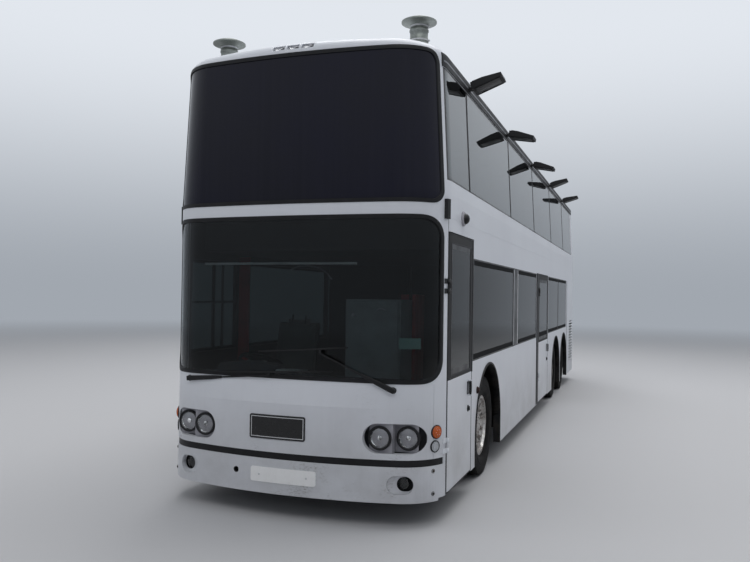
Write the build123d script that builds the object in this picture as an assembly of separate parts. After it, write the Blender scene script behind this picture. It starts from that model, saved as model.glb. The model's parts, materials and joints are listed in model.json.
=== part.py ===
from build123d import *
import os
from math import cos, radians, sin, sqrt, tan

os.makedirs("parts", exist_ok=True)

# Double decker coach, right-hand drive, three axles.
# Millimetres. X points to the nearside (kerb side, with the doors), Y to the rear, Z up.
# The origin is on the ground under the middle of the coach.
# A station is a distance behind the foremost point of the nose.

# Overall form
LENGTH = 12000.0
WIDTH = 2500.0
HEIGHT = 3900.0
SKIRT_Z = 220.0
WALL = 45.0
TAIL_STEP = 15.0
CORNER_R = 420.0
CORNER_SET = 520.0
TAIL_R = 150.0
BROW_LOW_Z = 930.0
BROW_TOP_Z = 1115.0
BROW_SET = 55.0
SHOULDER_Z = 2650.0
LEAN_DEG = 3.0
EAVES_DEEP = 105.0
CROWN_RISE = 50.0
CAP_WALL = 120.0
ROOF_R = 100.0

# Heights and stations where panels meet
BUMPER_Z = 200.0
BUMPER_TOP_Z = 480.0
STRIP_TOP_Z = 535.0
PANEL_TOP_Z = 1120.0
DECK_SPLIT_Z = 2465.0
BUMPER_END = 338.0
STRIP_END = 395.0
PANEL_END = 285.0
PILLAR_END = 430.0
UPPER_PILLAR_END = 395.0
DOME_END = 600.0
BUMPER_WALL = 60.0
EAVES_Z = HEIGHT - EAVES_DEEP

# Glass
GLASS = 8.0
GLASS_SET = 2.0
REBATE = GLASS + GLASS_SET
GLASS_SEAT = 38.0
PANE_GAP = 12.0

# Windscreens: bottom, top, rearmost station, corner radius
SCREEN_TOP_DEEP = 100.0
LOWER_SCREEN = (1125.0, 2460.0, 367.0, 190.0)
UPPER_SCREEN = (2556.0, HEIGHT - SCREEN_TOP_DEEP, 363.0, 120.0)
PANEL_GAP = 4.0
GASKET_WIDE = 32.0
GASKET_PROUD = 4.0
GASKET_DEEP = 24.0
SCREEN_SET = 6.0

# Roof rail
RAIL_BAND = 110.0
RAIL_PROUD = 8.0
RAIL_LOW_Z = EAVES_Z - RAIL_BAND

# Side windows: heights of each band and stations of the joints between panes
LOWER_BAND = (1220.0, 2170.0)
UPPER_BAND = (2760.0, RAIL_LOW_Z - 5.0)
UPPER_JOINTS = (UPPER_PILLAR_END + 10.0, 1200.0, 3450.0, LENGTH - 6500.0, LENGTH - 4370.0, LENGTH - 2300.0,
                LENGTH - 520.0)
NEAR_LOWER_JOINTS = ((1346.0, 3656.0, LENGTH - 6234.0), (LENGTH - 4776.0, LENGTH - 3204.0, LENGTH - 1644.0))
OFF_LOWER_JOINTS = ((444.0, 1336.0), (1346.0, 3656.0, LENGTH - 6004.0, LENGTH - 3804.0, LENGTH - 1644.0))
REAR_PANE = (1020.0, 2790.0, RAIL_LOW_Z - 85.0)

# Doors: first and last station of the opening, top of the opening, window low and high
FRONT_DOOR = (PILLAR_END, 1330.0, 2345.0, 1160.0, 2262.0)
MIDDLE_DOOR = (LENGTH - 6005.0, LENGTH - 4805.0, 2180.0, 1160.0, 2100.0)
DOOR_GAP = 9.0
DOOR_FRAME = 75.0
HANDLE_Z = 1000.0
HINGE_R = 12.0
HINGE_PIN_R = 6.0
HINGE_PLAY = 0.05
HINGE_OUT = 14.0
HINGE_KNUCKLE = 40.0
HINGE_GAP = 0.5
HINGE_STRAP = 50.0
HINGE_STRAP_T = 6.0
HINGE_HEIGHTS = (620.0, 1900.0)

# Engine lid
LID_HALF = 800.0
LID_Z = (500.0, 1330.0)
LID_HINGE_R = 6.5
LID_HINGE_OUT = 7.5
LID_HINGES = (-550.0, 550.0)
LID_KNUCKLE = 40.0
LID_STRAP = 50.0

# Wheels
WHEEL_Z = 505.0
TYRE_R = 505.0
TYRE_WIDE = 300.0
TYRE_OUT_X = 1200.0
BEAD_R = 288.0
TWIN_GAP = 36.0
FRONT_AXLE = 2150.0
REAR_OVERHANG = 3550.0
BOGIE = 1400.0
DRIVE_AXLE = LENGTH - REAR_OVERHANG
TAG_AXLE = DRIVE_AXLE + BOGIE
SPINDLE_R = 45.0
RUNNING = 0.05
KINGPIN_X = 850.0
KINGPIN_R = 25.0

# Wheel arches
FRONT_ARCH_R = 645.0
REAR_ARCH_R = 620.0
LIP = 20.0
LIP_PROUD = 10.0
LINER = 6.0
LINER_X = 495.0
LINER_LOW = 160.0
AXLE_SLOT = 110.0

# Chassis and floors
RAIL_X = 380.0
RAIL_WIDE = 70.0
RAIL_Z = 380.0
RAIL_DEEP = 90.0
REAR_RAIL_Z = 780.0
FLOOR_T = 35.0
REAR_FLOOR_Z = 1175.0
STEP_STATION = DRIVE_AXLE - 730.0
UPPER_FLOOR_Z = 2250.0
UPPER_FLOOR_T = 40.0
CAB_LEDGE_Z = 2510.0
CAB_LEDGE_END = 740.0

HALF = WIDTH / 2
FRONT_Y = -LENGTH / 2
TAIL_Y = LENGTH / 2 - TAIL_STEP
TAIL_START = LENGTH - TAIL_STEP - TAIL_R
CAP_Z = HEIGHT - CROWN_RISE - CAP_WALL
EAVES_HALF = HALF - (CAP_Z - SHOULDER_Z) * tan(radians(LEAN_DEG))
CROWN_R = (EAVES_HALF**2 + CROWN_RISE**2) / (2 * CROWN_RISE)
RAIL_TOP = RAIL_Z + RAIL_DEEP
FLOOR_TOP = RAIL_TOP + FLOOR_T
REAR_RAIL_TOP = REAR_RAIL_Z + RAIL_DEEP
CORNER_X = HALF - CORNER_R
FAR = 2 * WIDTH
RIGHT = (0, FAR)
EVERYWHERE = (-FAR, FAR)
AHEAD = -WALL

nodes = {}


def at(station):
    return FRONT_Y + station


def block(x, stations, z):
    """Box between two values of X, two stations and two heights."""
    middle = ((x[0] + x[1]) / 2, at((stations[0] + stations[1]) / 2), (z[0] + z[1]) / 2)
    return Pos(*middle) * Box(x[1] - x[0], stations[1] - stations[0], z[1] - z[0])


def across(x, station, z, radius):
    """Cylinder along X."""
    return Pos((x[0] + x[1]) / 2, at(station), z) * Rot(0, 90, 0) * Cylinder(radius, x[1] - x[0])


def lengthwise(x, stations, z, radius):
    """Cylinder along Y."""
    middle = (stations[0] + stations[1]) / 2
    return Pos(x, at(middle), z) * Rot(90, 0, 0) * Cylinder(radius, stations[1] - stations[0])


def upright(x, station, z, radius):
    """Cylinder along Z."""
    return Pos(x, at(station), (z[0] + z[1]) / 2) * Cylinder(radius, z[1] - z[0])


def rod(start, end, radius):
    """Round bar between two points given as X, station, Z."""
    a = Vector(start[0], at(start[1]), start[2])
    b = Vector(end[0], at(end[1]), end[2])
    return Plane(origin=(a + b) / 2, z_dir=b - a) * Cylinder(radius, (b - a).length)


def flip(shape):
    return mirror(shape, about=Plane.YZ)


def side_plate(points, x):
    """Plate between two values of X, its outline given as stations and heights."""
    outline = make_face(Polyline([(0, at(s), z) for s, z in points], close=True))
    return Pos(x[0], 0, 0) * extrude(outline, amount=x[1] - x[0], dir=(1, 0, 0))


def put(node, *shapes):
    solids = []
    for shape in shapes:
        solids.extend(shape.solids())
    nodes.setdefault(node, []).extend(solids)


def put_both(node, shape):
    put(node, shape, flip(shape))


# Body form

def bow(nose_set, half):
    """Radius of the nose's large arc, and the middle of the corner arc measured from the foremost point."""
    corner_back = CORNER_SET - nose_set
    corner_x = half - CORNER_R
    return (corner_x**2 + corner_back**2 - CORNER_R**2) / (2 * (corner_back - CORNER_R)), corner_x


def nose_station(x, nose_set=BROW_SET):
    """Station of the nose's surface at a distance from the middle."""
    bow_r, corner_x = bow(nose_set, HALF)
    if abs(x) * (bow_r - CORNER_R) < corner_x * bow_r:
        return nose_set + bow_r - sqrt(bow_r**2 - x**2)
    return CORNER_SET - sqrt(CORNER_R**2 - (abs(x) - corner_x)**2)


def side_x(station):
    """Distance from the middle to the side's surface at a station."""
    ahead = max(0, CORNER_SET - station)
    return CORNER_X + sqrt(CORNER_R**2 - ahead**2)


def section(z, half, nose_set, inset):
    """Level section: straight sides, round corners and a nose bowed by one large arc."""
    bow_r, corner_x = bow(nose_set, half)
    bow_centre = Vector(0, at(nose_set) + bow_r, z)
    corner = Vector(corner_x, at(CORNER_SET), z)
    outward = (corner - bow_centre).normalized()
    meet = bow_centre + outward * (bow_r - inset)
    corner_mid = corner + (outward + Vector(1, 0, 0)).normalized() * (CORNER_R - inset)
    side_front = Vector(half - inset, at(CORNER_SET), z)
    side_back = Vector(half - inset, at(TAIL_START), z)
    tail = Vector(half - TAIL_R, at(TAIL_START), z)
    tail_mid = tail + Vector(1, 1, 0).normalized() * (TAIL_R - inset)
    tail_end = Vector(half - TAIL_R, TAIL_Y - inset, z)
    tip = Vector(0, at(nose_set) + inset, z)

    def left(point):
        return Vector(-point.X, point.Y, point.Z)

    return Face(Wire([
        Edge.make_three_point_arc(left(meet), tip, meet),
        Edge.make_three_point_arc(meet, corner_mid, side_front),
        Edge.make_line(side_front, side_back),
        Edge.make_three_point_arc(side_back, tail_mid, tail_end),
        Edge.make_line(tail_end, left(tail_end)),
        Edge.make_three_point_arc(left(tail_end), left(tail_mid), left(side_back)),
        Edge.make_line(left(side_back), left(side_front)),
        Edge.make_three_point_arc(left(side_front), left(corner_mid), left(meet)),
    ]))


def form(inset=0.0):
    """The whole body as one solid, every face moved in by the inset."""
    bottom = BUMPER_Z if inset <= 0 else BUMPER_Z - WALL
    low = extrude(section(bottom, HALF, 0, inset), BROW_LOW_Z - bottom)
    brow_sections = [section(BROW_LOW_Z, HALF, 0, inset), section(BROW_TOP_Z, HALF, BROW_SET, inset)]
    brow = loft(brow_sections, ruled=True)
    middle = extrude(section(BROW_TOP_Z, HALF, BROW_SET, inset), SHOULDER_Z - BROW_TOP_Z)
    shoulder = section(SHOULDER_Z, HALF, BROW_SET, inset)
    eaves = section(CAP_Z, EAVES_HALF, BROW_SET, inset)
    leaning = loft([shoulder, eaves], ruled=True)
    cap = extrude(eaves, HEIGHT + WALL - CAP_Z)
    cap &= Pos(0, 0, HEIGHT - CROWN_R) * Rot(90, 0, 0) * Cylinder(CROWN_R - inset, LENGTH + FAR)
    crown = cap.faces().sort_by(Axis.Z)[-1]
    cap = fillet(crown.edges(), ROOF_R - inset)
    return low + brow + middle + leaning + cap


outer = form(0)
inner = form(WALL)
shell = outer - inner
rebate_line = form(REBATE)
rebate_skin = outer - rebate_line
pane_skin = form(GLASS_SET) - rebate_line


def body_zone(x, stations, z):
    return shell & block(x, stations, z)


def proud_zone(proud, x, stations, z):
    """Layer on the outside of the body, within a block."""
    return (form(-proud) & block(x, stations, z)) - outer


def screen_prism(screen, grow=0.0):
    """Prism across the coach with a screen's side outline, rounded at its rear corners."""
    low, high, rear, radius = screen
    reach = rear + 2 * radius
    outline = RectangleRounded(reach + grow, high - low + 2 * grow, radius + grow)
    centre = Pos(at(rear - reach / 2 + grow / 2), (low + high) / 2)
    return extrude(Plane.YZ * centre * outline, amount=HALF + WALL, both=True)


# Front of the body

HEADLAMP_POCKET = (902.0, 700.0, 478.0, 233.0)
# Headlamp table: X, station of the front of the lamp
HEADLAMPS = ((790.0, 95.0), (1002.0, 168.0))
HEADLAMP_R = 95.0
HEADLAMP_LENS_R = 78.0
HEADLAMP_LONG = 55.0
HEADLAMP_LENS_DOME = 12.0
LAMP_BOARD_SET = 22.0
LAMP_BOARD_T = 10.0
LAMP_BOARD_SPLIT = 897.0
LAMP_BOARD_END = 1085.0
FOG_LAMP = (955.0, 342.0, 200.0, 145.0)
FOG_CUP_SET = 22.0
FOG_CUP_WALL = 5.0
FOG_CUP_DEEP = 115.0
FOG_CUP_PLAY = 0.3
FOG_LENS_R = 44.0
FOG_LENS_T = 42.0
TOW_HOLE = (-434.0, 364.0, 22.0)
BADGE = ((-307.0, 195.0), (640.0, 836.0))
FRONT_PLATE = ((-290.0, 290.0), (290.0, 410.0))
PLATE_T = 5.0
PLATE_R = 18.0
DOME_SLOTS = (-130.0, 0.0, 130.0)
DOME_SLOT = (112.0, 46.0, 22.0)
DOME_SLOT_ANGLE = 32.0
DOME_LAMP_MARGIN = 9.0
DOME_LAMP_T = 8.0


def lengthwise_slot(x, z, wide, high, stations):
    outline = SlotOverall(wide, high)
    return Pos(x, at(stations[1]), z) * Rot(90, 0, 0) * extrude(outline, stations[1] - stations[0])


def make_headlamps(pocket):
    """Stepped board with two round lamps; each lamp is a ring with a domed lens."""
    _, z, _, high = HEADLAMP_POCKET
    span = (z - high / 2, z + high / 2)
    (in_x, in_s), (out_x, out_s) = HEADLAMPS
    in_board = (in_s + LAMP_BOARD_SET, in_s + LAMP_BOARD_SET + LAMP_BOARD_T)
    out_board = (out_s + LAMP_BOARD_SET, out_s + LAMP_BOARD_SET + LAMP_BOARD_T)
    lamps = block((0, LAMP_BOARD_SPLIT), in_board, span)
    lamps += block((LAMP_BOARD_SPLIT - LAMP_BOARD_T, LAMP_BOARD_SPLIT), (in_board[0], out_board[1]), span)
    lamps += block((LAMP_BOARD_SPLIT - LAMP_BOARD_T, LAMP_BOARD_END), out_board, span)
    lamps &= pocket
    dome_r = (HEADLAMP_LENS_R**2 + HEADLAMP_LENS_DOME**2) / (2 * HEADLAMP_LENS_DOME)
    for x, station in HEADLAMPS:
        lamp = lengthwise(x, (station, station + HEADLAMP_LONG), z, HEADLAMP_R)
        lamp -= lengthwise(x, (station, station + HEADLAMP_LENS_DOME), z, HEADLAMP_LENS_R)
        lens = Pos(x, at(station + dome_r), z) * Sphere(dome_r)
        lens &= lengthwise(x, (station, station + 2 * HEADLAMP_LENS_DOME), z, HEADLAMP_LENS_R)
        lamps += lamp + lens
    put_both("headlamps", lamps)


def make_dome_slots(surround):
    """Three slots for marker lamps in the curve between the upper windscreen and the roof."""
    wide, high, deep = DOME_SLOT
    tilt = radians(DOME_SLOT_ANGLE)
    station = BROW_SET + ROOF_R * (1 - cos(tilt))
    z = HEIGHT - ROOF_R * (1 - sin(tilt))
    for x in DOME_SLOTS:
        place = Pos(x, at(station), z) * Rot(-DOME_SLOT_ANGLE, 0, 0)
        surround -= place * Box(wide, 2 * deep, high)
        lamp = Box(wide - 2 * DOME_LAMP_MARGIN, DOME_LAMP_T, high - 2 * DOME_LAMP_MARGIN)
        put("small_lamps", place * Pos(0, deep - DOME_LAMP_T / 2, 0) * lamp)
    return surround


def make_front():
    lower_prism = screen_prism(LOWER_SCREEN)
    upper_prism = screen_prism(UPPER_SCREEN)
    panel_zone = block(EVERYWHERE, (AHEAD, PANEL_END), (STRIP_TOP_Z, PANEL_TOP_Z))
    strip_zone = block(EVERYWHERE, (AHEAD, STRIP_END), (BUMPER_TOP_Z, STRIP_TOP_Z))
    zones = block(EVERYWHERE, (AHEAD, PILLAR_END), (STRIP_TOP_Z, DECK_SPLIT_Z))
    zones += block(EVERYWHERE, (BUMPER_END, PILLAR_END), (SKIRT_Z, STRIP_TOP_Z))
    zones += block(EVERYWHERE, (AHEAD, UPPER_PILLAR_END), (DECK_SPLIT_Z, EAVES_Z))
    zones += block(EVERYWHERE, (AHEAD, DOME_END), (EAVES_Z, HEIGHT + WALL))
    surround = (shell & zones) - panel_zone - strip_zone - lower_prism - upper_prism
    put("front_surround", make_dome_slots(surround))

    panel = body_zone(EVERYWHERE, (AHEAD, PANEL_END - PANEL_GAP), (STRIP_TOP_Z, PANEL_TOP_Z))
    pocket_x, pocket_z, pocket_wide, pocket_high = HEADLAMP_POCKET
    pocket = lengthwise_slot(pocket_x, pocket_z, pocket_wide, pocket_high, (AHEAD, PANEL_END + WALL))
    panel = panel - pocket - flip(pocket)
    put("front_panel", panel)
    make_headlamps(pocket)

    bumper_zone = block(EVERYWHERE, (AHEAD, BUMPER_END), (BUMPER_Z, BUMPER_TOP_Z))
    bumper = (outer - form(BUMPER_WALL)) & bumper_zone
    fog_x, fog_z, fog_wide, fog_high = FOG_LAMP
    fog_hole = lengthwise_slot(fog_x, fog_z, fog_wide, fog_high, (AHEAD, BUMPER_END + WALL))
    tow_x, tow_z, tow_r = TOW_HOLE
    bumper = bumper - fog_hole - flip(fog_hole) - lengthwise(tow_x, (AHEAD, BUMPER_END), tow_z, tow_r)
    put("front_bumper", bumper)

    fog_back = nose_station(fog_x, 0) + FOG_CUP_DEEP
    play, wall = 2 * FOG_CUP_PLAY, 2 * FOG_CUP_WALL
    cup = lengthwise_slot(fog_x, fog_z, fog_wide - play, fog_high - play, (AHEAD, fog_back)) & form(FOG_CUP_SET)
    cup -= lengthwise_slot(fog_x, fog_z, fog_wide - wall, fog_high - wall, (AHEAD, fog_back - FOG_CUP_WALL))
    cup += lengthwise(fog_x, (fog_back - FOG_LENS_T, fog_back), fog_z, FOG_LENS_R)
    put_both("fog_lamps", cup)

    put("front_seals", (form(SCREEN_SET) - inner) & strip_zone)
    gasket_skin = form(-GASKET_PROUD) - form(GASKET_DEEP)
    screen_skin = form(SCREEN_SET) - form(SCREEN_SET + GLASS)
    for name, screen, prism in (
        ("windscreen_lower", LOWER_SCREEN, lower_prism),
        ("windscreen_upper", UPPER_SCREEN, upper_prism),
    ):
        sight = screen_prism(screen, -GASKET_WIDE)
        put("front_seals", (gasket_skin & prism) - sight)
        put(name, screen_skin & sight)

    for x, z in (BADGE, FRONT_PLATE):
        outline = RectangleRounded(x[1] - x[0], z[1] - z[0], PLATE_R)
        place = Pos((x[0] + x[1]) / 2, at(PANEL_END), (z[0] + z[1]) / 2) * Rot(90, 0, 0)
        put("plates", ((place * extrude(outline, PANEL_END + WALL)) & form(-PLATE_T)) - outer)
    plate_x, plate_z = FRONT_PLATE
    put("plates", block(plate_x, (LENGTH, LENGTH + PLATE_T), plate_z))


# Sides of the body

def arch_space(x, station, radius, bottom=0.0):
    """Round-topped space of a wheel arch, open below."""
    stations = (station - radius, station + radius)
    space = across(x, station, WHEEL_Z, radius) & block(x, stations, (WHEEL_Z, WHEEL_Z + radius))
    return space + block(x, stations, (bottom, WHEEL_Z))


ARCHES = ((FRONT_AXLE, FRONT_ARCH_R), (DRIVE_AXLE, REAR_ARCH_R), (TAG_AXLE, REAR_ARCH_R))
GRILLE = ((LENGTH - 970.0, LENGTH - 220.0), (440.0, 1350.0))
GRILLE_FRAME = 30.0
GRILLE_SLATS = 14
GRILLE_SLAT_T = 6.0
GRILLE_DEPTH = 42.0
GRILLE_TILT = 35.0
GRILLE_SLAT_SET = 4.0


def window_cut(stations, z):
    """Through hole of one pane, leaving the seat that its edge is bonded to."""
    inside = (stations[0] + GLASS_SEAT, stations[1] - GLASS_SEAT)
    return block(RIGHT, inside, (z[0] + GLASS_SEAT, z[1] - GLASS_SEAT))


def panes_between(joints):
    """Stations of the panes between successive joints."""
    return [(a + PANE_GAP / 2, b - PANE_GAP / 2) for a, b in zip(joints[:-1], joints[1:])]


def glaze(wall, panes, band):
    """Cuts one rebate along a band of panes and a hole for each; returns the wall and the glass."""
    wall = wall - (rebate_skin & block(RIGHT, (panes[0][0], panes[-1][1]), band))
    for pane in panes:
        wall -= window_cut(pane, band)
    return wall, [pane_skin & block(RIGHT, pane, band) for pane in panes]


def make_sides():
    upper = body_zone(RIGHT, (UPPER_PILLAR_END, TAIL_START), (DECK_SPLIT_Z, EAVES_Z))
    upper, glass = glaze(upper, panes_between(UPPER_JOINTS), UPPER_BAND)
    for pane in glass:
        put_both("upper_glass", pane)
    rail_zone = block(RIGHT, (UPPER_PILLAR_END, TAIL_START), (RAIL_LOW_Z, EAVES_Z))
    upper -= rebate_skin & rail_zone
    put_both("roof_rails", (form(-RAIL_PROUD) & rail_zone) - rebate_line)
    put("side_upper_nearside", upper)
    put("side_upper_offside", flip(upper))

    lower = body_zone(RIGHT, (PILLAR_END, TAIL_START), (SKIRT_Z, DECK_SPLIT_Z))
    for station, radius in ARCHES:
        lower -= arch_space((HALF - 2 * WALL, FAR), station, radius)
    near = lower
    for first, last, top, _, _ in (FRONT_DOOR, MIDDLE_DOOR):
        near -= block(RIGHT, (first, last), (SKIRT_Z - WALL, top))
    near -= block(RIGHT, GRILLE[0], GRILLE[1])
    off = lower
    for joints in NEAR_LOWER_JOINTS:
        near, glass = glaze(near, panes_between(joints), LOWER_BAND)
        put("lower_glass", *glass)
    for joints in OFF_LOWER_JOINTS:
        off, glass = glaze(off, panes_between(joints), LOWER_BAND)
        put("lower_glass", *[flip(pane) for pane in glass])
    put("side_lower_nearside", near)
    put("side_lower_offside", flip(off))


def make_grille():
    stations, z = GRILLE
    x = (HALF - WALL, HALF)
    opening = (stations[0] + GRILLE_FRAME, stations[1] - GRILLE_FRAME)
    frame = block(x, stations, z) - block(x, opening, (z[0] + GRILLE_FRAME, z[1] - GRILLE_FRAME))
    pitch = (z[1] - z[0] - 2 * GRILLE_FRAME) / GRILLE_SLATS
    long = stations[1] - stations[0] - GRILLE_FRAME
    middle = (stations[0] + stations[1]) / 2
    for i in range(GRILLE_SLATS):
        height = z[0] + GRILLE_FRAME + (i + 0.5) * pitch
        place = Pos(HALF - GRILLE_SLAT_SET, at(middle), height) * Rot(0, GRILLE_TILT, 0)
        frame += place * Box(GRILLE_DEPTH, long, GRILLE_SLAT_T)
    put("louvre_grille", frame)


# Rear of the body

REAR_LAMPS = (700.0, 830.0, 960.0)
REAR_LAMP_X = 1000.0
REAR_LAMP_R = 55.0
REAR_LAMP_T = 12.0


def make_rear():
    wall = body_zone(EVERYWHERE, (TAIL_START, LENGTH), (BUMPER_TOP_Z, EAVES_Z))
    wall += body_zone(EVERYWHERE, (TAIL_START - TAIL_R, LENGTH), (EAVES_Z, HEIGHT + WALL))
    half, low, high = REAR_PANE
    pane = block((-half, half), (TAIL_START, LENGTH), (low, high))
    sight_x = (-half + GLASS_SEAT, half - GLASS_SEAT)
    sight = block(sight_x, (TAIL_START, LENGTH), (low + GLASS_SEAT, high - GLASS_SEAT))
    wall = wall - (rebate_skin & pane) - sight
    wall -= block((-LID_HALF, LID_HALF), (TAIL_START, LENGTH), LID_Z)
    put("rear_wall", wall)
    put("upper_glass", pane_skin & pane)

    bumper = body_zone(EVERYWHERE, (TAIL_START, LENGTH), (SKIRT_Z, BUMPER_TOP_Z))
    bumper_x = (-HALF + TAIL_R, HALF - TAIL_R)
    bumper += block(bumper_x, (LENGTH - TAIL_STEP - WALL, LENGTH), (SKIRT_Z, BUMPER_TOP_Z))
    put("rear_bumper", bumper)

    for z in REAR_LAMPS:
        stations = (LENGTH - TAIL_STEP, LENGTH - TAIL_STEP + REAR_LAMP_T)
        put_both("small_lamps", lengthwise(REAR_LAMP_X, stations, z, REAR_LAMP_R))

    x = (-LID_HALF + DOOR_GAP, LID_HALF - DOOR_GAP)
    z = (LID_Z[0] + DOOR_GAP, LID_Z[1] - DOOR_GAP)
    put("engine_lid", block(x, (LENGTH - TAIL_STEP - WALL, LENGTH - TAIL_STEP), z))


# Roof

COWL_X = 920.0
COWL_STATION = 600.0
# Cowl profile: radius and height above the roof's crown; its foot is cut by the roof
COWL_PROFILE = ((0, -90), (108, -90), (108, 6), (80, 14), (80, 92), (76, 96), (76, 150), (82, 154), (82, 168),
                (76, 172), (76, 206), (92, 216), (150, 230), (150, 240), (104, 262), (0, 274))
# Floodlight table: station, tilt of the outer end above level
FLOODLIGHTS = ((1300.0, 18.0), (3350.0, -12.0), (5450.0, -14.0), (LENGTH - 4450.0, 18.0), (LENGTH - 2350.0, 14.0))
FLOOD_DROP = 65.0
FLOOD_LONG = 290.0
FLOOD_WIDE = 230.0
FLOOD_ROOT_T = 66.0
FLOOD_TIP_T = 34.0
FLOOD_HUMP = 6.0
FLOOD_HUMP_AT = 116.0
FLOOD_ARM = 40.0
FLOOD_ARM_HALF = 30.0
FLOOD_ARM_T = 24.0


def make_roof():
    roof = body_zone(EVERYWHERE, (DOME_END, TAIL_START - TAIL_R), (EAVES_Z, HEIGHT + WALL))
    put("roof_panel", roof)

    profile = make_face(Polyline([(r, 0, HEIGHT + z) for r, z in COWL_PROFILE], close=True))
    cowl = Pos(COWL_X, at(COWL_STATION), 0) * revolve(profile, Axis.Z)
    put_both("roof_cowls", cowl - outer)

    root, tip = FLOOD_ROOT_T / 2, FLOOD_TIP_T / 2
    outline = [(0, 0, -root), (FLOOD_LONG, 0, -tip), (FLOOD_LONG, 0, tip), (FLOOD_HUMP_AT, 0, root + FLOOD_HUMP),
               (0, 0, root)]
    body = extrude(make_face(Polyline(outline, close=True)), FLOOD_WIDE / 2, both=True)
    z = EAVES_Z - FLOOD_DROP
    edge_x = HALF - (z - SHOULDER_Z) * tan(radians(LEAN_DEG)) + RAIL_PROUD
    rail_face = form(-RAIL_PROUD)
    for station, tilt in FLOODLIGHTS:
        lamp = Pos(edge_x + FLOOD_ARM, at(station), z) * Rot(0, -tilt, 0) * body
        arm_x = (edge_x - FLOOD_ARM_HALF, edge_x + FLOOD_ARM + root)
        arm_s = (station - FLOOD_ARM_HALF, station + FLOOD_ARM_HALF)
        arm = block(arm_x, arm_s, (z - FLOOD_ARM_T / 2, z + FLOOD_ARM_T / 2)) - rail_face
        put_both("floodlights", lamp + arm)


# Doors

def hinge_half(axis, plate_s, span, ahead):
    """Knuckle on the hinge's axis with a strap that lies on the body."""
    axis_x, axis_s = axis
    reach = (axis_s - HINGE_R, axis_s) if ahead else (axis_s, axis_s + HINGE_R)
    neck = block((axis_x - HINGE_R - WALL, axis_x), reach, span) - outer
    return upright(axis_x, axis_s, span, HINGE_R) + neck + proud_zone(HINGE_STRAP_T, RIGHT, plate_s, span)


def make_door(name, door):
    first, last, top, sight_low, sight_high = door
    stations = (first + DOOR_GAP, last - DOOR_GAP)
    leaf = body_zone(RIGHT, stations, (SKIRT_Z + DOOR_GAP, top - DOOR_GAP))
    pane = (stations[0] + DOOR_FRAME, stations[1] - DOOR_FRAME)
    leaf, glass = glaze(leaf, [pane], (sight_low, sight_high))
    axis_s = first + DOOR_GAP / 2
    axis = (side_x(axis_s) + HINGE_OUT, axis_s)
    leaf_strap = (stations[0], stations[0] + HINGE_STRAP)
    post_strap = (first - HINGE_STRAP, first - HINGE_GAP)
    for height in HINGE_HEIGHTS:
        cuts = [height + (i - 1.5) * HINGE_KNUCKLE for i in range(4)]
        middle = (cuts[1] + HINGE_GAP, cuts[2] - HINGE_GAP)
        leaf += hinge_half(axis, leaf_strap, middle, False)
        leaf -= upright(*axis, middle, HINGE_PIN_R + HINGE_PLAY)
        fixed = upright(*axis, (cuts[0], cuts[3]), HINGE_PIN_R)
        for span in ((cuts[0], cuts[1]), (cuts[2], cuts[3])):
            fixed += hinge_half(axis, post_strap, span, True)
        put("door_hinges", fixed)
    put(name, add_handle(leaf, last))
    put(name + "_glass", *glass)


HANDLE_BACK = 150.0
HANDLE_CUP = (60.0, 90.0, 16.0)
HANDLE_BAR = (14.0, 120.0, 12.0)
HANDLE_REACH = 30.0


def add_handle(leaf, last):
    """Recessed cup with an upright grip in front of it."""
    station = last - HANDLE_BACK
    wide, high, deep = HANDLE_CUP
    cup = block((HALF - deep, FAR), (station - wide / 2, station + wide / 2), (HANDLE_Z - high / 2, HANDLE_Z + high / 2))
    bar_wide, bar_high, bar_t = HANDLE_BAR
    grip_s = (station - bar_wide / 2, station + bar_wide / 2)
    grip = block((HALF + HANDLE_REACH - bar_t, HALF + HANDLE_REACH), grip_s,
                 (HANDLE_Z - bar_high / 2 - bar_t, HANDLE_Z + bar_high / 2 + bar_t))
    for low in (HANDLE_Z - bar_high / 2 - bar_t, HANDLE_Z + bar_high / 2):
        grip += block((HALF - bar_t, HALF + HANDLE_REACH), grip_s, (low, low + bar_t))
    return leaf - cup + grip


def make_lid_hinges():
    top = LID_Z[1] - DOOR_GAP / 2
    face_s = LENGTH - TAIL_STEP
    axis_s = face_s + LID_HINGE_OUT
    thin = axis_s - LID_HINGE_R / 2
    pin_r = LID_HINGE_R / 2
    lid = nodes["engine_lid"][0]
    for x in LID_HINGES:
        cuts = [x + (i - 1.5) * LID_KNUCKLE for i in range(4)]
        middle = (cuts[1] + HINGE_GAP, cuts[2] - HINGE_GAP)
        knuckle = across(middle, axis_s, top, LID_HINGE_R)
        strap = block(middle, (face_s, axis_s), (top - LID_STRAP, top))
        strap -= block(middle, (thin, axis_s + LID_STRAP), (top - 2 * LID_STRAP, top - LID_HINGE_R))
        lid = lid + knuckle + strap - across(middle, axis_s, top, pin_r + HINGE_PLAY)
        fixed = across((cuts[0], cuts[3]), axis_s, top, pin_r)
        for span in ((cuts[0], cuts[1]), (cuts[2], cuts[3])):
            fixed += across(span, axis_s, top, LID_HINGE_R)
            strap = block(span, (face_s, axis_s), (top, top + LID_STRAP))
            fixed += strap - block(span, (thin, axis_s + LID_STRAP), (top + LID_HINGE_R, top + 2 * LID_STRAP))
        put("door_hinges", fixed)
    nodes["engine_lid"] = lid.solids()


# Wheels and axles

def ring(profile, x_shift, station):
    """Solid turned about a wheel's axis; the profile is X and radius."""
    face = make_face(Polyline([(x, 0, r) for x, r in profile], close=True))
    return Pos(x_shift, at(station), WHEEL_Z) * revolve(face, Axis.X)


RIM_SEAT = 0.72
RIM_FLANGE = 14.0
RIM_LIP = 10.0
RIM_DISC_T = 14.0
HUB_R = 120.0
DRUM_R = 150.0
BEAD_X = RIM_SEAT * TYRE_WIDE / 2
RIM_LIP_X = BEAD_X + RIM_LIP
FLANGE_R = BEAD_R + RIM_FLANGE
RIM_IN_R = BEAD_R - RIM_FLANGE


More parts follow.
